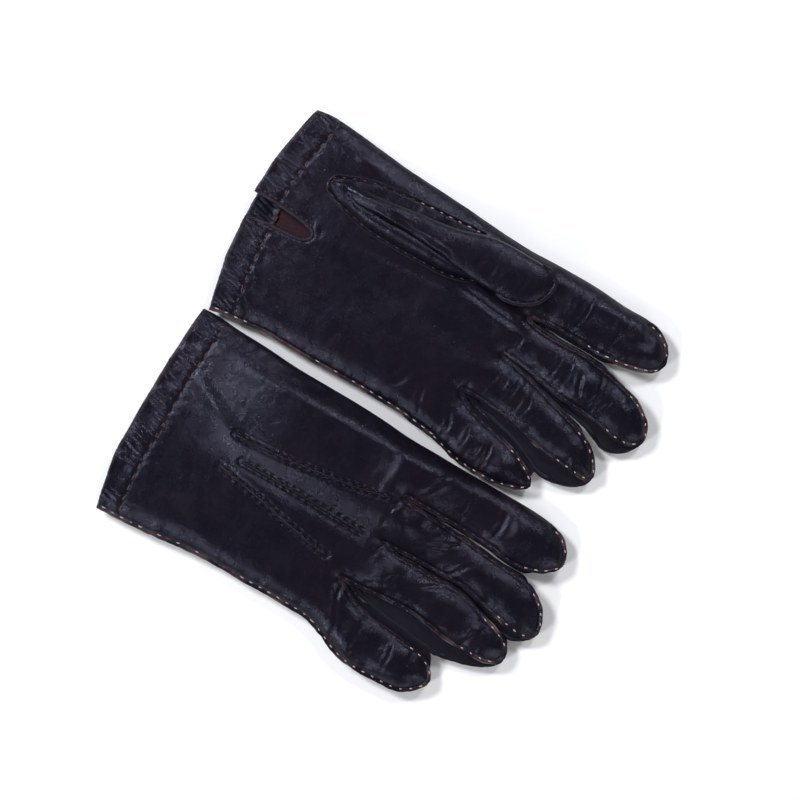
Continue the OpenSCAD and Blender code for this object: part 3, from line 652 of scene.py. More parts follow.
def thread(name, c1, c2):
    m, n, l, b = mat(name)
    pos = n.new("ShaderNodeAttribute")
    pos.attribute_name = "ply"
    w = n.new("ShaderNodeTexWave")
    w.inputs["Scale"].default_value, w.inputs["Distortion"].default_value = 1.0, 0.6
    w.bands_direction = "DIAGONAL"
    l.new(pos.outputs["Vector"], w.inputs["Vector"])
    mix = n.new("ShaderNodeMix")
    mix.data_type = "RGBA"
    mix.inputs["A"].default_value, mix.inputs["B"].default_value = (*c1, 1), (*c2, 1)
    l.new(w.outputs["Fac"], mix.inputs["Factor"])
    l.new(mix.outputs["Result"], b.inputs["Base Color"])
    rr = n.new("ShaderNodeMapRange")
    rr.inputs["To Min"].default_value, rr.inputs["To Max"].default_value = 0.52, 0.72
    l.new(w.outputs["Fac"], rr.inputs["Value"])
    l.new(rr.outputs["Result"], b.inputs["Roughness"])
    bu = n.new("ShaderNodeBump")
    bu.inputs["Strength"].default_value, bu.inputs["Distance"].default_value = 0.6, 0.0001
    l.new(w.outputs["Fac"], bu.inputs["Height"])
    l.new(bu.outputs["Normal"], b.inputs["Normal"])
    return m


SKIN = leather("leather_aubergine", (0.0031, 0.0026, 0.0065), (0.0060, 0.0032, 0.0067))
# Fourchette leather: the glove leather with a darker base colour, which is painted shade for the narrow gaps between
# the fingers. Its higher roughness is the leather's own.
SHADED_WALLS = leather("leather_fourchette_painted_shade", (0.0026, 0.0021, 0.0044), (0.0042, 0.0026, 0.0038), rough=0.44, sheen=0.02)
PIPING = leather("leather_piping", (0.0045, 0.0042, 0.0082), (0.0075, 0.0048, 0.0072), rough=0.33, grain=0.25)
FLESH = fibrous("suede_flesh_side", (0.030, 0.0085, 0.014), (0.056, 0.020, 0.029), 700)
RAW = fibrous("raw_edge", (0.030, 0.016, 0.017), (0.12, 0.07, 0.066), 1200, bump=0.4)
PALE = thread("thread_pale", (0.40, 0.28, 0.26), (0.80, 0.63, 0.60))
BROWN = thread("thread_brown", (0.05, 0.021, 0.020), (0.13, 0.062, 0.056))
SEAM = thread("thread_seam", (0.028, 0.013, 0.014), (0.085, 0.042, 0.04))
DARK = thread("thread_dark", (0.010, 0.006, 0.008), (0.03, 0.016, 0.017))


# ------------------------------------------------------------------ meshes
made = {}


def add_mesh(name, verts, polys, loop_normals, poly_mats, mats, attrs):
    me = bpy.data.meshes.new(name)
    verts = np.array(verts, float)
    verts[:, 2] = np.maximum(verts[:, 2], 0.0)
    me.from_pydata((np.asarray(verts) * 0.001).tolist(), [], [list(p) for p in polys])
    for m in mats:
        me.materials.append(m)
    me.polygons.foreach_set("material_index", np.asarray(poly_mats, np.int32))
    me.polygons.foreach_set("use_smooth", np.ones(len(polys), bool))
    a = me.attributes.new("rest", "FLOAT_VECTOR", "POINT")
    a.data.foreach_set("vector", (np.asarray(verts, np.float32) * 0.001).ravel())
    for k, v in attrs.items():
        v = np.asarray(v, np.float32)
        a = me.attributes.new(k, "FLOAT_VECTOR" if v.ndim == 2 else "FLOAT", "POINT")
        a.data.foreach_set("vector" if v.ndim == 2 else "value", v.ravel())
    me.update()
    if loop_normals is not None:
        me.normals_split_custom_set(np.asarray(loop_normals).tolist())
    o = bpy.data.objects.new(name, me)
    scene.collection.objects.link(o)
    return o


def skin_piece(name, P, N, quads, thick, mats, wear, rim_flat=True):
    """A leather piece of real thickness: the grain side, the flesh side and the cut edge between them."""
    used, inv = np.unique(quads.ravel(), return_inverse=True)
    q = inv.reshape(-1, 4)
    p, nrm = P[used], N[used]
    th = (thick[used] if np.ndim(thick) else np.full(len(p), thick))[:, None]
    inner = p - nrm * th
    n = len(p)
    # the free edges
    e = np.vstack([q[:, [0, 1]], q[:, [1, 2]], q[:, [2, 3]], q[:, [3, 0]]])
    e = e[e[:, 0] != e[:, 1]]
    key = np.sort(e, axis=1)
    _, first, count = np.unique(key, axis=0, return_index=True, return_counts=True)
    rim = e[first[count == 1]]
    rim_q = np.column_stack([rim[:, 1], rim[:, 0], rim[:, 0] + n, rim[:, 1] + n])
    polys = np.vstack([q, q[:, ::-1] + n, rim_q])
    verts = np.vstack([p, inner])
    rn = np.cross(verts[rim_q[:, 1]] - verts[rim_q[:, 0]], verts[rim_q[:, 3]] - verts[rim_q[:, 0]])
    rn /= np.maximum(np.linalg.norm(rn, axis=1, keepdims=True), 1e-12)
    ln = np.vstack([nrm[q.ravel()], -nrm[q[:, ::-1].ravel()], np.repeat(rn, 4, axis=0)])
    pm = np.r_[np.zeros(len(q)), np.ones(len(q)), np.full(len(rim_q), 2)]
    w = wear[used] if np.ndim(wear) else np.full(n, wear)
    return add_mesh(name, verts, polys, ln, pm, mats, {"wear": np.r_[w, w * 0]})


def thread_piece(name, pos, along, up, mats, length=2.6, r=0.3, lift=0.32, seed=1, second=None):
    """Separate stitches: each rises out of its hole, crosses the leather and goes down again."""
    rng = np.random.default_rng(seed)
    pos, along, up = (np.asarray(a, float) for a in (pos, along, up))
    along = along + up * 0
    along /= np.linalg.norm(along, axis=1, keepdims=True)
    up = up - along * (up * along).sum(1, keepdims=True)
    up /= np.linalg.norm(up, axis=1, keepdims=True)
    side = np.cross(up, along)
    rings, m = 9, 10
    t = np.linspace(-1, 1, rings)
    a = np.linspace(0, 2 * np.pi, m, endpoint=False)
    verts, polys, ply, pm = [], [], [], []
    for i in range(len(pos)):
        L = length * (1 + 0.12 * rng.standard_normal()) / 2
        skew = 0.12 * rng.standard_normal()
        fr = 1 + 0.08 * rng.standard_normal()
        base = len(verts) * rings * m
        ring = []
        for k, u in enumerate(t):
            rad = r * fr * math.sqrt(max(0.0, 1 - abs(u) ** 6)) * 0.96 + 0.02
            h = lift * (1 - u * u * u * u) - 0.28 * u * u
            c = pos[i] + along[i] * L * u + side[i] * skew * u + up[i] * (h - 0.1)
            ring.append(c + rad * (np.cos(a)[:, None] * side[i] + 0.85 * np.sin(a)[:, None] * up[i]))
            ply.append(np.column_stack([np.full(m, u * L * 2.4), a / (2 * np.pi) * 2.0, np.full(m, i * 3.7)]))
        verts.append(np.vstack(ring))
        for k in range(rings - 1):
            for j in range(m):
                j2 = (j + 1) % m
                polys.append((base + k * m + j, base + k * m + j2, base + (k + 1) * m + j2, base + (k + 1) * m + j))
        polys.append(tuple(base + j for j in range(m - 1, -1, -1)))
        polys.append(tuple(base + (rings - 1) * m + j for j in range(m)))
        pm += [1 if second and second(pos[i]) else 0] * (len(polys) - len(pm))
    return add_mesh(name, np.vstack(verts), polys, None, pm, mats, {"ply": np.vstack(ply)})


def place(o, g, body=None, blend=None, stands_for=()):
    if blend:
        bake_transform(o)
    else:
        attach(o, body)
    if stands_for:
        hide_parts(*stands_for)
    made[o.name] = o
    return o


HINGE = [
    {"little": (25, 52), "ring": (31, 70), "middle": (38, 80), "index": (43, 78)},
    {"little": (21, 50), "ring": (28, 72), "middle": (30, 77), "index": (30, 72)},
]


def split_rows(g, f):
    """The row where a finger's lower piece ends and its upper piece starts: halfway between the two joints."""
    xb, xm = HINGE[g][f]
    return (max(xb, FIN[g][f]["up_low"][0][0], FIN[g][f]["up_high"][0][0]) + 11 + xm - 6) / 2


def lower_blend(g, f):
    a, b = np.array(FIN[g][f]["up_low"][0], float), np.array(FIN[g][f]["up_high"][0], float)
    r = (b - a) / np.linalg.norm(b - a)
    n = np.array([r[1], -r[0]])
    n = n if n[0] > 0 else -n
    m = (a + b) / 2
    xb = HINGE[g][f][0]
    first = max(0.0, min(3.0, xb - 5 - m[0]))
    s = m + n * first
    e = s + n * max(9.0, (xb + 5 - s[0]))
    z = 6
    return f"{SIDE[g]}_hand", f"{SIDE[g]}_{f}_lower_part", (s[0], s[1], z), (e[0], e[1], z)


def upper_blend(g, f):
    xm = HINGE[g][f][1]
    y = (FIN[g][f]["up_low"][4][1] + FIN[g][f]["up_high"][4][1]) / 2
    return f"{SIDE[g]}_{f}_lower_part", f"{SIDE[g]}_{f}_tip_part", (xm - 5.5, y, 6), (xm + 5.5, y, 6)


sheets = {}
for g in (0, 1):
    for upper in (True, False):
        sh = Sheet(g, upper)
        sheets[g, upper] = sh
        wear = (np.exp(-((sh.d / 0.55) ** 2)) * sh.lip * 0.9 + 0.35 * np.exp(-(((sh.d - LW) / 0.5) ** 2)) * sh.lip).astype(float)
        near_tip = np.min([np.linalg.norm(sh.P[:, :2] - np.array(FIN[g][f]["tip"]), axis=1) for f in NAMES], axis=0)
        outer = np.maximum(sst((30 - near_tip) / 10), (sh.P[:, 1] < (16 if g == 0 else -104)).astype(float))
        wear *= (0.12 + 0.88 * outer) * np.clip(0.25 + 1.3 * noise(sh.P[:, :2], 6, 77), 0.04, 1.3)
        wear = np.maximum(wear, 0.22 * np.exp(-((sh.dc / 0.8) ** 2)))
        thick = np.where(sh.dc < 14.6, 1.9, T)
        tag = "up" if upper else "down"
        palm = upper == (g == 0)
        node = f"{SIDE[g]}_trank_{'palm' if palm else 'back'}"
        quads = sh.quads
        hand = quads[:, : NH - 1].reshape(-1, 4)
        o = skin_piece(f"{SIDE[g]}_{'palm' if palm else 'back'}_leather", sh.P, sh.N, hand, thick, [SKIN, FLESH, RAW], wear)
        place(o, g, f"{SIDE[g]}_hand", stands_for=(node,))
        for j, f in enumerate(NAMES):
            rows = sh.P[sh.idx[j], 0].mean(1)
            cut = int(np.searchsorted(rows[NH:], split_rows(g, f))) + NH
            lo = quads[j, NH - 1 : cut].reshape(-1, 4)
            up = quads[j, cut:].reshape(-1, 4)
            sh.__dict__.setdefault("cuts", {})[f] = cut
            o = skin_piece(f"{SIDE[g]}_{f}_lower_{tag}", sh.P, sh.N, lo, T, [SKIN, FLESH, RAW], wear)
            place(o, g, blend=lower_blend(g, f), stands_for=(f"{SIDE[g]}_{f}_lower",))
            o = skin_piece(f"{SIDE[g]}_{f}_tip_{tag}", sh.P, sh.N, up, T, [SKIN, FLESH, RAW], wear)
            place(o, g, blend=upper_blend(g, f), stands_for=(f"{SIDE[g]}_{f}_tip",))


# ------------------------------------------------------------------ fourchettes: the side walls of the fingers
def edge_h0(g, f, c):
    dist = np.linalg.norm(c - np.array(FIN[g][f]["tip"]), axis=1)
    return T + (3.0 - T) * sst((dist - 3) / 14), dist


def fourchettes(g, f):
    up, dn = sheets[g, True], sheets[g, False]
    j = NAMES.index(f)
    sides = [k for k in (0, 1) if (f, k) not in (("little", 0), ("index", 1))]
    out = {"lower": [], "tip": []}
    for k in sides:
        tc, bc = up.groups[j][k][NH - 1 :], dn.groups[j][k][NH - 1 :]
        to, bo = up.groups[j][1 - k][NH - 1 :], dn.groups[j][1 - k][NH - 1 :]
        it = (to - tc) / np.linalg.norm(to - tc, axis=1, keepdims=True)
        ib = (bo - bc) / np.linalg.norm(bo - bc, axis=1, keepdims=True)
        h, dist = edge_h0(g, f, tc)
        hb, _ = edge_h0(g, f, bc)
        mt, mb = 6 + rise(g, tc), 6 + rise(g, bc)
        tr = 0.8
        rows = []
        for a, dz in ((0.18, 1.76), (1.1, 1.76), (1.75, 1.92), (2.1, 2.35)):
            z = mt + np.maximum(h - dz, 0.12)
            rows.append(np.column_stack([tc + it * a + flutter(tc) * math.exp(-((a / 2) ** 2)), z]))
        wrinkle = 0.55 * noise(tc * 1.0, 6, 41 + k) + 0.25 * noise(tc, 2.7, 43 + k)
        j2 = j - 1 if k == 0 else j + 1
        m_own = (tc + bc) / 2
        m_other = (up.groups[j2][1 - k][NH - 1 :] + dn.groups[j2][1 - k][NH - 1 :]) / 2
        gap, _ = nearest(m_own, m_other)
        full = 0.9 + (np.minimum(2.1 + gap / 2, 4.2 + (2.6 if {f, NAMES[j2]} == {"little", "ring"} else 0)) - 0.9) * (1 - sst((gap - 9) / 5 if {f, NAMES[j2]} == {"little", "ring"} else (gap - 4.6) / 3.5))
        full = smooth_rows(np.maximum(full + np.where(gap < 5, np.minimum(wrinkle, 0), wrinkle), 0.3), 3)
        for w in np.linspace(0, 1, 9):
            p = (tc + it * 2.25) * (1 - w) + (bc + ib * 2.25) * w
            out_dir = -(it * (1 - w) + ib * w)
            z = (mt + np.maximum(h - 2.7, 0.1)) * (1 - w) + (mb - np.maximum(hb - 2.7, 0.1)) * w
            p = p + out_dir * (full * math.sin(math.pi * w) ** 0.8)[:, None]
            rows.append(np.column_stack([p, z]))
        for a, dz in ((2.1, 2.35), (1.75, 1.92), (1.1, 1.76), (0.18, 1.76)):
            z = mb - np.maximum(hb - dz, 0.12)
            rows.append(np.column_stack([bc + ib * a + flutter(bc) * math.exp(-((a / 2) ** 2)), z]))
        G = np.stack(rows, 1)  # row, point, xyz
        last = int(np.argmax(dist < 5.5)) or NF - 4
        G = G[: last + 1]
        nr, nk = G.shape[:2]
        P = G.reshape(-1, 3)
        ix = np.arange(nr * nk).reshape(nr, nk)
        q = np.stack([ix[:-1, :-1], ix[1:, :-1], ix[1:, 1:], ix[:-1, 1:]], -1)
        N = normals(P, q.reshape(-1, 4))
        wall = ix[:, nk // 2].ravel()
        if (N[wall, :2] * -it[:nr]).sum(1).mean() < 0:
            q = q[..., ::-1]
            N = -N
        wear = np.zeros((nr, nk))
        wear[:, [0, -1]] = 0.05
        cut = up.cuts[f] - (NH - 1)
        out["lower"].append((P, N, q[:cut].reshape(-1, 4), tr, wear.ravel()))
        out["tip"].append((P, N, q[cut:].reshape(-1, 4), tr, wear.ravel()))
    for part in ("lower", "tip"):
        P, N, Q, W, n = [], [], [], [], 0
        for p, nn, q, tr, w in out[part]:
            P.append(p)
            N.append(nn)
            Q.append(q + n)
            W.append(w)
            n += len(p)
        # the finger walls use the darker fourchette leather, which paints the shade between the fingers
        o = skin_piece(f"{SIDE[g]}_{f}_fourchettes_{part}", np.vstack(P), np.vstack(N), np.vstack(Q), 0.8, [SHADED_WALLS, SHADED_WALLS, SHADED_WALLS], np.concatenate(W))
        place(o, g, blend=lower_blend(g, f) if part == "lower" else upper_blend(g, f), stands_for=(f"{SIDE[g]}_{f}_{part}_fourchettes",))


for g in (0, 1):
    for f in NAMES:
        fourchettes(g, f)


# ------------------------------------------------------------------ seam stitches
def walk(c, pitch, start=2.0, stop=0.0):
    s = np.r_[0, np.cumsum(np.linalg.norm(np.diff(c, axis=0), axis=1))]
    at = np.arange(start, s[-1] - stop, pitch)
    p = np.stack([np.interp(at, s, c[:, k]) for k in range(c.shape[1])], 1)
    q = np.stack([np.interp(np.minimum(at + 0.6, s[-1]), s, c[:, k]) for k in range(c.shape[1])], 1)
    r = np.stack([np.interp(np.maximum(at - 0.6, 0), s, c[:, k]) for k in range(c.shape[1])], 1)
    t = q - r
    t /= np.maximum(np.linalg.norm(t, axis=1, keepdims=True), 1e-9)
    return p, t


def on_sheet(sh, p, t, sink=0.05):
    pos, along, up = [], [], []
    for a, b in zip(p, t):
        q, n = sh.at(a[0], a[1])
        v = np.array([b[0], b[1], 0.0])
        v -= n * (v @ n)
        pos.append(np.array([a[0], a[1], q[2]]) - n * sink)
        along.append(v)
        up.append(n)
    return pos, along, up


PITCH = 5.6
for g in (0, 1):
    for j, f in enumerate(NAMES):
        bag = {"lower": ([], [], []), "tip": ([], [], [])}
        for upper in (True, False):
            sh = sheets[g, upper]
            for k in (0, 1):
                c = sh.groups[j][k][NH - 1 :]
                o = sh.groups[j][1 - k][NH - 1 :]
                inward = (o - c) / np.maximum(np.linalg.norm(o - c, axis=1, keepdims=True), 1e-9)
                line = c + inward * (LW - 0.15)
                if (f, k) == ("index", 1):
                    m = c[:, 0] > FOLD_END[g] + 3
                    line = line[m]
                line = line[:-5]
                p, t = walk(line, PITCH, 1.8 + 0.9 * k)
                pos, al, up = on_sheet(sh, p, t)
                xc = split_rows(g, f)
                for a, b, c_ in zip(pos, al, up):
                    part = "lower" if a[0] < xc else "tip"
                    bag[part][0].append(a)
                    bag[part][1].append(b)
                    bag[part][2].append(c_)
        tip_at = np.array(FIN[g][f]["tip"], float)
        mid_y = (FIN[g][f]["up_low"][0][1] + FIN[g][f]["up_high"][0][1]) / 2

        def pale(p, f=f, g=g, tip_at=tip_at, mid_y=mid_y):
            r = math.hypot(p[0] - tip_at[0], p[1] - tip_at[1])
            reach = 46 if (f == "index" and g == 0) else 25
            return r < reach or (f == "little" and p[1] < mid_y - 3)

        for part in ("lower", "tip"):
            o = thread_piece(f"{SIDE[g]}_{f}_stitches_{part}", *bag[part], [SEAM, PALE], length=2.0, r=0.26, seed=j + 10 * g, second=pale)
            place(o, g, blend=lower_blend(g, f) if part == "lower" else upper_blend(g, f))

for g in (0, 1):
    hand = f"{SIDE[g]}_hand"
    pos, al, up = [], [], []
    for upper in (True, False):
        sh = sheets[g, upper]
        c = sh.groups[0][0][:NH]
        o = sh.groups[0][1][:NH]
        inward = (o - c) / np.linalg.norm(o - c, axis=1, keepdims=True)
        p, t = walk(c + inward * (LW + 0.3), PITCH, 3.0)
        a, b, d = on_sheet(sh, p, t)
        pos += a
        al += b
        up += d
    place(thread_piece(f"{SIDE[g]}_side_seam_thread", pos, al, up, [BROWN, PALE], length=2.5, r=0.26, seed=50 + g, second=lambda p: p[0] < -96 or p[0] > -30 or math.sin(p[0] * 1.7) > 0.3), g, hand, stands_for=(f"{SIDE[g]}_side_seam_stitches",))
    pos, al, up = [], [], []
    for upper in (True, False):
        sh = sheets[g, upper]
        ys = np.arange(CUFF[g][0][0] + 4, CUFF[g][-1][0] - 3, 1.0)
        line = np.column_stack([cuff_x(g, ys) + 14.2, ys])
        p, t = walk(line, 6.4, 2.0 if upper else 4.0)
        slit = upper if g == 0 else not upper
        if slit:
            lo, hi = VENT[g][0], VENT[g][1]
            y_lo = np.interp(p[:, 0], [q[0] for q in lo], [q[1] for q in lo]) - 2.2
            y_hi = np.interp(p[:, 0], [q[0] for q in hi], [q[1] for q in hi]) + 2.2
            m = (p[:, 1] < y_lo) | (p[:, 1] > y_hi)
            p, t = p[m], t[m]
        a, b, d = on_sheet(sh, p, t, 0.02)
        pos += a
        al += b
        up += d
    place(thread_piece(f"{SIDE[g]}_hem_thread", pos, al, up, [BROWN], length=3.3, r=0.3, seed=60 + g), g, hand, stands_for=(f"{SIDE[g]}_hem_stitches",))


# ------------------------------------------------------------------ points on the back of each hand
for g in (0, 1):
    upper = g == 1
    sh = sheets[g, upper]
    P, Q, W, n0 = [], [], [], 0
    pos, al, up = [], [], []
    for pts in POINTS[g]:
        c = resample(curve(pts), 150)
        z = np.array([sh.at(*p)[0][2] for p in c])
        z = smooth_rows(z, 12)
        t = np.gradient(c, axis=0)
        t /= np.linalg.norm(t, axis=1, keepdims=True)
        side = np.column_stack([-t[:, 1], t[:, 0]])
        s = np.linspace(0, 1, len(c))
        end = np.sqrt(np.clip(np.minimum(s, 1 - s) / 0.02, 0, 1))
        pucker = 1 + 0.1 * noise(np.column_stack([s * 100, s * 0]), 2.8, 71)
        lean = 0.12 * noise(np.column_stack([s * 100, s * 0]), 4.0, 72)
        prof = [(-1.35, -0.3), (-1.0, 0.1), (-0.72, 0.62), (-0.4, 0.98), (0.0, 1.1), (0.4, 0.98), (0.72, 0.62), (1.0, 0.1), (1.35, -0.3)]
        rows = [
            np.column_stack([c + side * ((a * (0.35 + 0.65 * end) + lean * max(h, 0)) * 0.95)[:, None], z + sh.s * (h * end * pucker)])
            for a, h in prof
        ]
        G = np.stack(rows, 1)
        ix = np.arange(G.shape[0] * G.shape[1]).reshape(G.shape[:2]) + n0
        Q.append(np.stack([ix[:-1, :-1], ix[1:, :-1], ix[1:, 1:], ix[:-1, 1:]], -1).reshape(-1, 4))
        P.append(G.reshape(-1, 3))
        w = np.zeros(G.shape[:2])
        w[:, 3:6] = 0.0
        W.append(w.ravel())
        n0 += G.shape[0] * G.shape[1]
        for sgn in (1, -1):
            p, tt = walk(c + side * sgn * 1.05, 5.0, 1.6 + (2.5 if sgn < 0 else 0), 1.0)
            for a, b in zip(p, tt):
                q, nn = sh.at(a[0], a[1])
                nn = nn + np.array([*(side[len(side) // 2] * sgn * 0.55), 0])
                nn /= np.linalg.norm(nn)
                pos.append(np.array([a[0], a[1], q[2] + sh.s * 0.22]))
                al.append(np.array([b[0], b[1], 0]))
                up.append(nn)
    P, Q = np.vstack(P), np.vstack(Q)
    N = normals(P, Q)
    if (N[:, 2] * sh.s).mean() < 0:
        Q, N = Q[:, ::-1], -N
    place(skin_piece(f"{SIDE[g]}_points", P, N, Q, 0.35, [SKIN, FLESH, SKIN], np.concatenate(W)), g, f"{SIDE[g]}_hand", stands_for=(f"{SIDE[g]}_point_welts",))
    place(thread_piece(f"{SIDE[g]}_point_thread", pos, al, up, [DARK], length=2.3, r=0.24, lift=0.26, seed=70 + g), g, f"{SIDE[g]}_hand", stands_for=(f"{SIDE[g]}_point_stitches",))


# ------------------------------------------------------------------ hems, rolled cuff edges and the bound slits
def tube_mesh(C, side, up, prof, closed_ends=True):
    """Sweeps a ring of (side, up) offsets along a line."""
    rows = [C + side * a + up * b for a, b in prof]
    G = np.stack(rows, 1)
    nr, nk = G.shape[:2]
    ix = np.arange(nr * nk).reshape(nr, nk)
    nx = np.roll(ix, -1, axis=1)
    q = np.stack([ix[:-1], ix[1:], nx[1:], nx[:-1]], -1).reshape(-1, 4)
    return G.reshape(-1, 3), q, ix


for g in (0, 1):
    hand = f"{SIDE[g]}_hand"
    P, N, Q, W, n0 = [], [], [], [], 0
    for upper in (True, False):
        sh = sheets[g, upper]
        q = sh.quads[:, : NH - 1].reshape(-1, 4)
        q = q[(sh.dc[q] < 15.4).all(1) & (sh.d[q] > 1.6).all(1)]
        used = np.unique(q)
        remap = np.zeros(len(sh.P), int)
        remap[used] = np.arange(len(used)) + n0
        p = sh.P[used] - sh.N[used] * (T + 1.0)
        p[:, 0] += 0.0
        P.append(p)
        N.append(-sh.N[used])
        Q.append(remap[q][:, ::-1])
        W.append(0.6 * np.exp(-(((sh.dc[used] - 15.2) / 0.6) ** 2)))
        n0 += len(used)
    o = skin_piece(f"{SIDE[g]}_hem", np.vstack(P), np.vstack(N), np.vstack(Q), 0.85, [PIPING, FLESH, RAW], np.concatenate(W))
    place(o, g, hand, stands_for=(f"{SIDE[g]}_hem_facing",))
    for upper in (True, False):
        sh = sheets[g, upper]
        runs = []
        slit = upper if g == 0 else not upper
        ids = [sh.idx[j, 0] for j in range(4)]
        ids2 = [sh.idx[j, 2] for j in range(4)]
        if slit:
            runs = [(np.r_[ids[0], ids[1][1:]], np.r_[ids2[0], ids2[1][1:]]), (np.r_[ids[2], ids[3][1:]], np.r_[ids2[2], ids2[3][1:]])]
        else:
            runs = [(np.r_[ids[0], ids[1][1:], ids[2][1:], ids[3][1:]], np.r_[ids2[0], ids2[1][1:], ids2[2][1:], ids2[3][1:]])]
        P, Q, n0 = [], [], 0
        for a, b in runs:
            pa, na = sh.P[a], sh.N[a]
            o_dir = pa - sh.P[b]
            o_dir -= na * (o_dir * na).sum(1, keepdims=True)
            o_dir /= np.linalg.norm(o_dir, axis=1, keepdims=True)
            r = 0.98
            th = np.linspace(-0.15, np.pi + 0.15, 11)
            rows = [pa - na * r + na * r * math.cos(t) + o_dir * 1.05 * math.sin(t) for t in th]
            G = np.stack(rows, 1)
            ix = np.arange(G.shape[0] * G.shape[1]).reshape(G.shape[:2]) + n0
            Q.append(np.stack([ix[:-1, :-1], ix[1:, :-1], ix[1:, 1:], ix[:-1, 1:]], -1).reshape(-1, 4))
            P.append(G.reshape(-1, 3))
            n0 += G.shape[0] * G.shape[1]
        P, Q = np.vstack(P), np.vstack(Q)
        NN = normals(P, Q)
        mid_row = P[5::11]
        if (NN[5::11, 0]).mean() > 0:
            Q, NN = Q[:, ::-1], -NN
        place(skin_piece(f"{SIDE[g]}_cuff_edge_{'up' if upper else 'down'}", P, NN, Q, 0.5, [SKIN, FLESH, SKIN], np.full(len(P), 0.02)), g, hand)
    # the slit's binding
    upper = g == 0
    sh = sheets[g, upper]
    lo, hi = curve(VENT[g][0]), curve(VENT[g][1])
    lo[0, 0], hi[0, 0] = cuff_x(g, lo[0, 1]) - 0.6, cuff_x(g, hi[0, 1]) - 0.6
    c = resample(np.vstack([lo, hi[::-1][1:]]), 150)
    for _ in range(6):
        c[1:-1] = 0.25 * c[:-2] + 0.5 * c[1:-1] + 0.25 * c[2:]
    t = np.gradient(c, axis=0)
    t /= np.linalg.norm(t, axis=1, keepdims=True)
    side = np.column_stack([-t[:, 1], t[:, 0]])
    centre = np.array([-100, 64.6]) if g == 0 else np.array([-100, -60.0])
    outw = np.sign(((c - centre) * side).sum(1))[:, None] * side
    z = np.array([sh.at(*(p + o_ * 1.6))[0][2] for p, o_ in zip(c, outw)])
    z = smooth_rows(z, 10)
    C = np.column_stack([c + outw * 0.2, z - sh.s * 0.55])
    S = np.column_stack([side, side[:, 0] * 0])
    U = np.tile([0, 0, float(sh.s)], (len(C), 1))
    ang = np.linspace(0, 2 * np.pi, 14, endpoint=False)
    pk = 1 + 0.05 * noise(np.column_stack([np.linspace(0, 80, len(C)), np.zeros(len(C))]), 2.6, 81)
    prof = [(1.18 * math.cos(a), 1.12 * math.sin(a)) for a in ang]
    P, q, ix = tube_mesh(C, S * pk[:, None], U * pk[:, None], prof)
    NN = normals(P, q)
    if ((P - np.repeat(C, 14, axis=0)) * NN).sum(1).mean() < 0:
        q, NN = q[:, ::-1], -NN
    place(skin_piece(f"{SIDE[g]}_slit_binding", P, NN, q, 0.45, [PIPING, FLESH, PIPING], np.full(len(P), 0.03)), g, hand, stands_for=(f"{SIDE[g]}_vent_binding",))
    p, tt = walk(c + outw * 1.9, 3.4, 2.0, 1.0)
    a, b, d = on_sheet(sh, p, tt, 0.05)
    place(thread_piece(f"{SIDE[g]}_binding_thread", a, b, d, [BROWN], length=1.7, r=0.2, lift=0.16, seed=90 + g), g, hand)


# ------------------------------------------------------------------ thumbs
THUMB = [
    {
        "low": [(-92.5, 94.6), (-86, 92.6), (-75, 91.9), (-60, 91.8), (-40, 91.2), (-30, 90.6), (-20, 89.4), (-10, 88), (0, 87), (10, 86.6), (20, 86.8), (26, 87.9), (31, 90), (35, 93), (37.6, 97), (38.9, 101)],
        "high": [(-92.5, 96.2), (-88, 98.4), (-80, 100.2), (-70, 100.9), (-60, 102), (-45, 104), (-30, 105.6), (-20, 107.2), (-10, 110), (0, 112.4), (10, 113.2), (20, 113), (28, 112.6), (34, 111.4), (37.6, 109), (39.2, 106)],
        "tip": (39.4, 103.5),
        "z": 11.7,
        "h": 9.4,
        "seam_up": [(-94.3, 96.2), (-92.6, 99.9), (-86, 103.4), (-75, 107.4), (-60, 110), (-40, 111.9), (-25, 112.6), (-14, 113.2), (-6, 113.6)],
        "seam_low": [(-94.3, 94.6), (-92.8, 91.2), (-86.5, 87.2), (-75, 84), (-65, 81.7), (-50, 80.6), (-30, 80.6), (-14, 81.2), (-4, 83.6), (3, 86.4)],
        "cuts": (-21, 6),
        "joints": ((-8, 98, 16), (18, 99.5, 16)),
        "lip_from": 14,
    },
    {
        "low": [(-88, -33), (-76, -36.6), (-60, -39.2), (-40, -38.8), (-22, -37.3), (-10, -36.4), (3, -34.8), (14, -33.6), (20, -31.6), (24, -28.4), (26.2, -25.4)],
        "high": [(-88, -29), (-76, -24), (-60, -20.2), (-40, -15.8), (-22, -11.9), (-8, -10.2), (3, -9.8), (14, -10.2), (20, -12.2), (24.2, -15.6), (26.4, -19)],
        "tip": (26.8, -22.2),
        "z": 0.1,
        "h": 7.2,
        "seam_up": [(-89, -28.6), (-84, -26.6), (-74, -20.8), (-60, -16.6), (-40, -12.6), (-28, -11), (-20, -10.4)],
        "seam_low": [(-89, -33.4), (-84, -36.4), (-74, -40), (-60, -42.8), (-40, -42.6), (-28, -41), (-20, -40)],
        "cuts": (-34, -9),
        "joints": ((-22, -24, 3.6), (3, -22.5, 3.6)),
        "lip_from": 2,
    },
]
THUMB_LINES = [
    [
        ([(-30, 93), (-24, 99), (-20, 106)], 0.4, 1.2, 0.3),
        ([(-4, 88), (-1, 98), (-3, 111)], 0.35, 1.2, 0.3),
        ([(4, 88), (7, 99), (6, 112)], 0.45, 1.1, 0.35),
        ([(14, 88), (16, 99), (14, 112)], 0.35, 1.0, 0.3),
        ([(24, 90), (25, 100), (23, 111)], 0.3, 1.0, 0.25),
        ([(-86, 95), (-60, 95.4), (-30, 94.6), (-6, 91.6)], 0.55, 1.0, 0.55),
        ([(-70, 99), (-50, 99.5), (-34, 101)], 0.25, 1.4, 0.2),
    ],
    [([(-12, -33), (-9, -24), (-12, -12)], 0.3, 1.1, 0.3), ([(4, -33), (7, -22), (4, -11)], 0.3, 1.1, 0.3)],
]
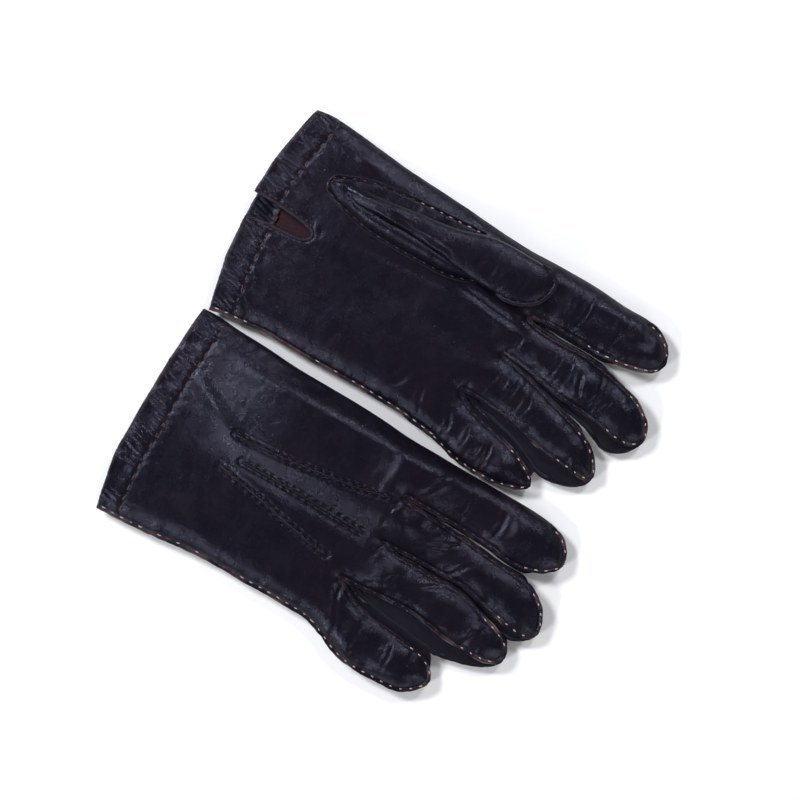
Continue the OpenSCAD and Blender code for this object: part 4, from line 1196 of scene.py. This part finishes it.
for g in (0, 1):
    d = THUMB[g]
    tip = np.array(d["tip"], float)
    NT, M = 230, 44
    lo = curve(d["low"] + [tuple(tip + (-0.02, -0.5))], NT)
    hi = curve(d["high"] + [tuple(tip + (-0.02, 0.5))], NT)
    c, w = (lo + hi) / 2, np.linalg.norm(hi - lo, axis=1) / 2
    across = (hi - lo) / (2 * w[:, None])
    x = c[:, 0]
    x0 = d["low"][0][0]
    H = d["h"] * (0.24 + 0.76 * sst((x - x0) / 38))
    r = np.linalg.norm(c - tip, axis=1)
    H *= np.clip(1 - (1 - np.clip((r + 0.4) / 15, 0, 1)) ** 2.2, 0.02, 1) ** 0.5
    full = d["h"] * (0.24 + 0.76 * sst((x - x0) / 38))
    zc = d["z"] + (H / 2 + (full - H) * 0.38 if g == 0 else full - H / 2 - (full - H) * 0.5 + (d["h"] - full))
    a = np.linspace(0, 2 * np.pi, M, endpoint=False)
    ca, sa = np.cos(a), np.sin(a)
    e = (0.86 + 0.2 * sst((20 - (x - x0)) / 20))[:, None]
    py = np.sign(ca) * np.abs(ca) ** e
    pz = np.sign(sa) * np.abs(sa) ** (e + 0.02)
    XY = c[:, None] + across[:, None] * (w[:, None] * py)[..., None]
    Z = zc[:, None] + (H[:, None] / 2) * pz
    P = np.concatenate([XY, Z[..., None]], -1).reshape(-1, 3)
    ix = np.arange(NT * M).reshape(NT, M)
    nx = np.roll(ix, -1, axis=1)
    q = np.stack([ix[:-1], ix[1:], nx[1:], nx[:-1]], -1)
    cc = np.repeat(np.column_stack([c, zc]), M, axis=0)
    NN = normals(P, q.reshape(-1, 4))
    if ((P - cc) * NN).sum(1).mean() < 0:
        q, NN = q[..., ::-1], -NN
    face = 1.0 if g == 0 else -1.0
    top = np.clip(np.tile(sa, NT) * face, 0, 1) ** 0.5
    wob = 0.36 * noise(P[:, :2], 17, 101 + g) + 0.2 * noise(P[:, :2] * (1, 0.7), 7.5, 103 + g) + 0.06 * noise(P[:, :2], 3.4, 105 + g)
    for L in THUMB_LINES[g]:
        wob = wob + crease(P[:, :2], *L) * (1.3 if L[0][0][0] < -80 else 0.45)
    fade = np.repeat(np.clip(r / 10, 0.1, 1) * sst((x - x0) / 14), M)
    P = P + NN * (wob * (0.25 + 0.75 * top) * fade)[:, None]
    NN2 = normals(P, q.reshape(-1, 4))
    if (NN2 * NN).sum(1).mean() < 0:
        NN2 = -NN2
    NN = NN2
    c1, c2 = (int(np.argmax(x > v)) for v in d["cuts"])
    hand, low_b, tip_b = f"{SIDE[g]}_hand", f"{SIDE[g]}_thumb_lower_part", f"{SIDE[g]}_thumb_tip_part"
    j1, j2 = d["joints"]
    bl1 = (hand, low_b, (j1[0] - 7, j1[1], j1[2]), (j1[0] + 7, j1[1], j1[2]))
    bl2 = (low_b, tip_b, (j2[0] - 5.5, j2[1], j2[2]), (j2[0] + 5.5, j2[1], j2[2]))
    wz = np.zeros(len(P))
    place(skin_piece(f"{SIDE[g]}_thumb_root", P, NN, q[:c1].reshape(-1, 4), T, [SKIN, FLESH, RAW], wz), g, hand, stands_for=(f"{SIDE[g]}_thumb_base",))
    place(skin_piece(f"{SIDE[g]}_thumb_shaft", P, NN, q[c1:c2].reshape(-1, 4), T, [SKIN, FLESH, RAW], wz), g, blend=bl1, stands_for=(f"{SIDE[g]}_thumb_lower",))
    place(skin_piece(f"{SIDE[g]}_thumb_end", P, NN, q[c2:].reshape(-1, 4), T, [SKIN, FLESH, RAW], wz), g, blend=bl2, stands_for=(f"{SIDE[g]}_thumb_tip",))
    # the seam's lip round the tip
    path = np.vstack([lo[lo[:, 0] > d["lip_from"]], hi[::-1][:26]])
    path = resample(path, 120)
    for _ in range(4):
        path[1:-1] = 0.25 * path[:-2] + 0.5 * path[1:-1] + 0.25 * path[2:]
    t = np.gradient(path, axis=0)
    t /= np.linalg.norm(t, axis=1, keepdims=True)
    out = np.column_stack([t[:, 1], -t[:, 0]])
    s = np.linspace(0, 1, len(path))
    grow = sst(s / 0.12) * sst((1 - s) / 0.1)
    zz = np.interp(path[:, 0], x, zc) + (0.9 if g == 0 else -0.2)
    rows = []
    for k, h in ((-1.6, 0.25), (-0.9, 0.1), (-0.35, -0.28), (0.1, 0.05), (0.8, 0.22), (1.5, 0.05), (1.75, -0.2)):
        rows.append(np.column_stack([path + out * (k * (0.4 + 0.6 * grow) if k > 0 else k + 0 * grow)[:, None], zz + h + (0.95 if k >= -0.35 else 0.95)]))
    G = np.stack(rows, 1)
    ii = np.arange(G.shape[0] * G.shape[1]).reshape(G.shape[:2])
    ql = np.stack([ii[:-1, :-1], ii[1:, :-1], ii[1:, 1:], ii[:-1, 1:]], -1).reshape(-1, 4)
    PL = G.reshape(-1, 3)
    NL = normals(PL, ql)
    if NL[:, 2].mean() < 0:
        ql, NL = ql[:, ::-1], -NL
    wl = np.zeros(G.shape[:2])
    wl[:, -2:] = 0.08
    place(skin_piece(f"{SIDE[g]}_thumb_tip_lip", PL, NL, ql, 1.7, [SKIN, SKIN, RAW], wl.ravel()), g, blend=bl2)
    p, tt = walk(path - out * 0.45, 5.0, 2.5, 2.0)
    zs = np.interp(p[:, 0], x, zc) + (0.9 if g == 0 else -0.2) + 0.75
    place(
        thread_piece(f"{SIDE[g]}_thumb_tip_stitches", np.column_stack([p, zs]), np.column_stack([tt, tt[:, 0] * 0]), np.tile([0, 0, 1.0], (len(p), 1)), [DARK], length=2.3, r=0.24, seed=110 + g),
        g,
        blend=bl2,
    )
    # the leather round the thumb's root: a roll on the palm side of the thumb, and the web on its other side
    palm = sheets[g, g == 0]
    sgn = palm.s
    pos, al, up = [], [], []
    for which in ("low", "up"):
        seam = curve(d["seam_" + which], 150)
        edge = lo if which == "low" else hi
        xs = np.clip(seam[:, 0], x0 + 0.5, None)
        k = np.array([int(np.argmin(np.abs(edge[:, 0] - v))) for v in xs])
        start = 1 - sst((xs + 87) / 13) if g == 0 else 0 * xs
        under = edge[k] + (c[k] - edge[k]) * (0.35 + (1.1 * start if which == "low" else 0 * start))[:, None]
        if which == "up":
            pass
        zs = smooth_rows(np.array([palm.at(*p)[0][2] for p in seam]), 8)
        wdt = np.linalg.norm(under - seam, axis=1)
        inn = (under - seam) / wdt[:, None]
        v = np.linspace(0, 1, 26) ** 1.15
        G = []
        s = np.linspace(0, 1, 150)
        peak = (5.6 if which == "low" else 0.5) * (0.66 + 0.34 * sst(s / 0.4)) * sst(s / 0.05) * (1 - 0.55 * sst((s - 0.82) / 0.18))
        if g == 1:
            peak = peak * 0.6
        for vv in v:
            dist = vv * wdt
            base = 0.95 + 0.15 * np.exp(-(((dist - 0.8) / 0.6) ** 2)) - 0.5 * np.exp(-(((dist - 2.0) / 0.45) ** 2))
            tt_ = np.clip((dist - LW) / np.maximum(wdt - LW, 1), 0, 1)
            dome = np.sin(np.pi * np.clip(tt_ * (0.86 - 0.36 * start), 0, 1)) ** 0.75 if which == "low" else np.sin(np.pi / 2 * tt_) ** 0.9
            p2 = seam + inn * dist[:, None]
            nz = 0.22 * noise(p2, 7, 121 + g) + 0.3 * noise(np.column_stack([p2[:, 0], p2[:, 1] * 0.3]), 4.5, 123 + g)
            G.append(np.column_stack([p2, zs + sgn * (base + peak * dome + nz * np.clip(dist / 3, 0, 1))]))
        G = np.stack(G, 1)
        ii = np.arange(G.shape[0] * G.shape[1]).reshape(G.shape[:2])
        qg = np.stack([ii[:-1, :-1], ii[1:, :-1], ii[1:, 1:], ii[:-1, 1:]], -1).reshape(-1, 4)
        PG = G.reshape(-1, 3)
        NG = normals(PG, qg)
        if (NG[:, 2] * sgn).mean() < 0:
            qg, NG = qg[:, ::-1], -NG
        wg = np.zeros(G.shape[:2])
        wg[:, 0] = 0.14
        wg[:, 1] = 0.05
        place(skin_piece(f"{SIDE[g]}_thumb_{'gusset' if which == 'low' else 'web'}", PG, NG, qg, T, [SKIN, FLESH, RAW], wg.ravel()), g, hand, stands_for=(f"{SIDE[g]}_thumb_base",))
        p, tt = walk(seam + inn * 1.75, PITCH, 2.5, 2.0)
        zz = np.interp(p[:, 0], seam[:, 0], zs) + sgn * 0.62
        pos += list(np.column_stack([p, zz]))
        al += list(np.column_stack([tt, tt[:, 0] * 0]))
        up += list(np.tile([0, 0, float(sgn)], (len(p), 1)))
    place(thread_piece(f"{SIDE[g]}_thumb_seam_thread", pos, al, up, [BROWN, PALE], length=2.3, r=0.24, seed=120 + g, second=lambda p: p[0] > -48 and p[1] > 100), g, hand, stands_for=(f"{SIDE[g]}_thumb_seam_stitches",))


# ------------------------------------------------------------------ floor and light
fm, n, l, b = mat("floor")
b.inputs["Base Color"].default_value = (0.96, 0.95, 0.95, 1)
b.inputs["Roughness"].default_value = 0.9
b.inputs["Specular IOR Level"].default_value = 0.1
geo = n.new("ShaderNodeNewGeometry")
tr = n.new("ShaderNodeBsdfTransparent")
mx = n.new("ShaderNodeMixShader")
l.new(geo.outputs["Backfacing"], mx.inputs["Fac"])
l.new(b.outputs["BSDF"], mx.inputs[1])
l.new(tr.outputs["BSDF"], mx.inputs[2])
l.new(mx.outputs["Shader"], n["Material Output"].inputs["Surface"])
me = bpy.data.meshes.new("floor")
me.from_pydata([(-3, -3, -0.0003), (3, -3, -0.0003), (3, 3, -0.0003), (-3, 3, -0.0003)], [], [(0, 1, 2, 3)])
me.materials.append(fm)
floor = bpy.data.objects.new("floor", me)
scene.collection.objects.link(floor)

world = bpy.data.worlds.new("world")
scene.world = world
world.use_nodes = True
world.node_tree.nodes["Background"].inputs["Color"].default_value = (0.93, 0.96, 1.0, 1)
world.node_tree.nodes["Background"].inputs["Strength"].default_value = 0.2


def area(name, loc, size, power, color=(1, 1, 1), target=(0, 0, 0)):
    L = bpy.data.lights.new(name, "AREA")
    L.shape = "RECTANGLE"
    L.size, L.size_y = size
    L.energy = power
    L.color = color
    o = bpy.data.objects.new(name, L)
    scene.collection.objects.link(o)
    o.location = loc
    o.rotation_euler = (Vector(target) - Vector(loc)).to_track_quat("-Z", "Y").to_euler()
    return o


def seen(right, up_, height):
    """A place given by the picture's own right and up."""
    return (right * math.cos(YAW) - up_ * math.sin(YAW), right * math.sin(YAW) + up_ * math.cos(YAW), height)


area("key", seen(-0.84, 0.70, 1.0), (0.34, 0.34), 18, (0.92, 0.95, 1.0))
area("side", seen(0.66, 0.88, 1.0), (0.28, 0.28), 8, (0.94, 0.96, 1.0))
area("left", seen(-1.0, -0.72, 0.9), (0.27, 0.27), 9, (0.92, 0.95, 1.0))
area("fill", seen(0.8, -1.2, 0.8), (0.5, 0.5), 5, (1.0, 0.98, 0.97))
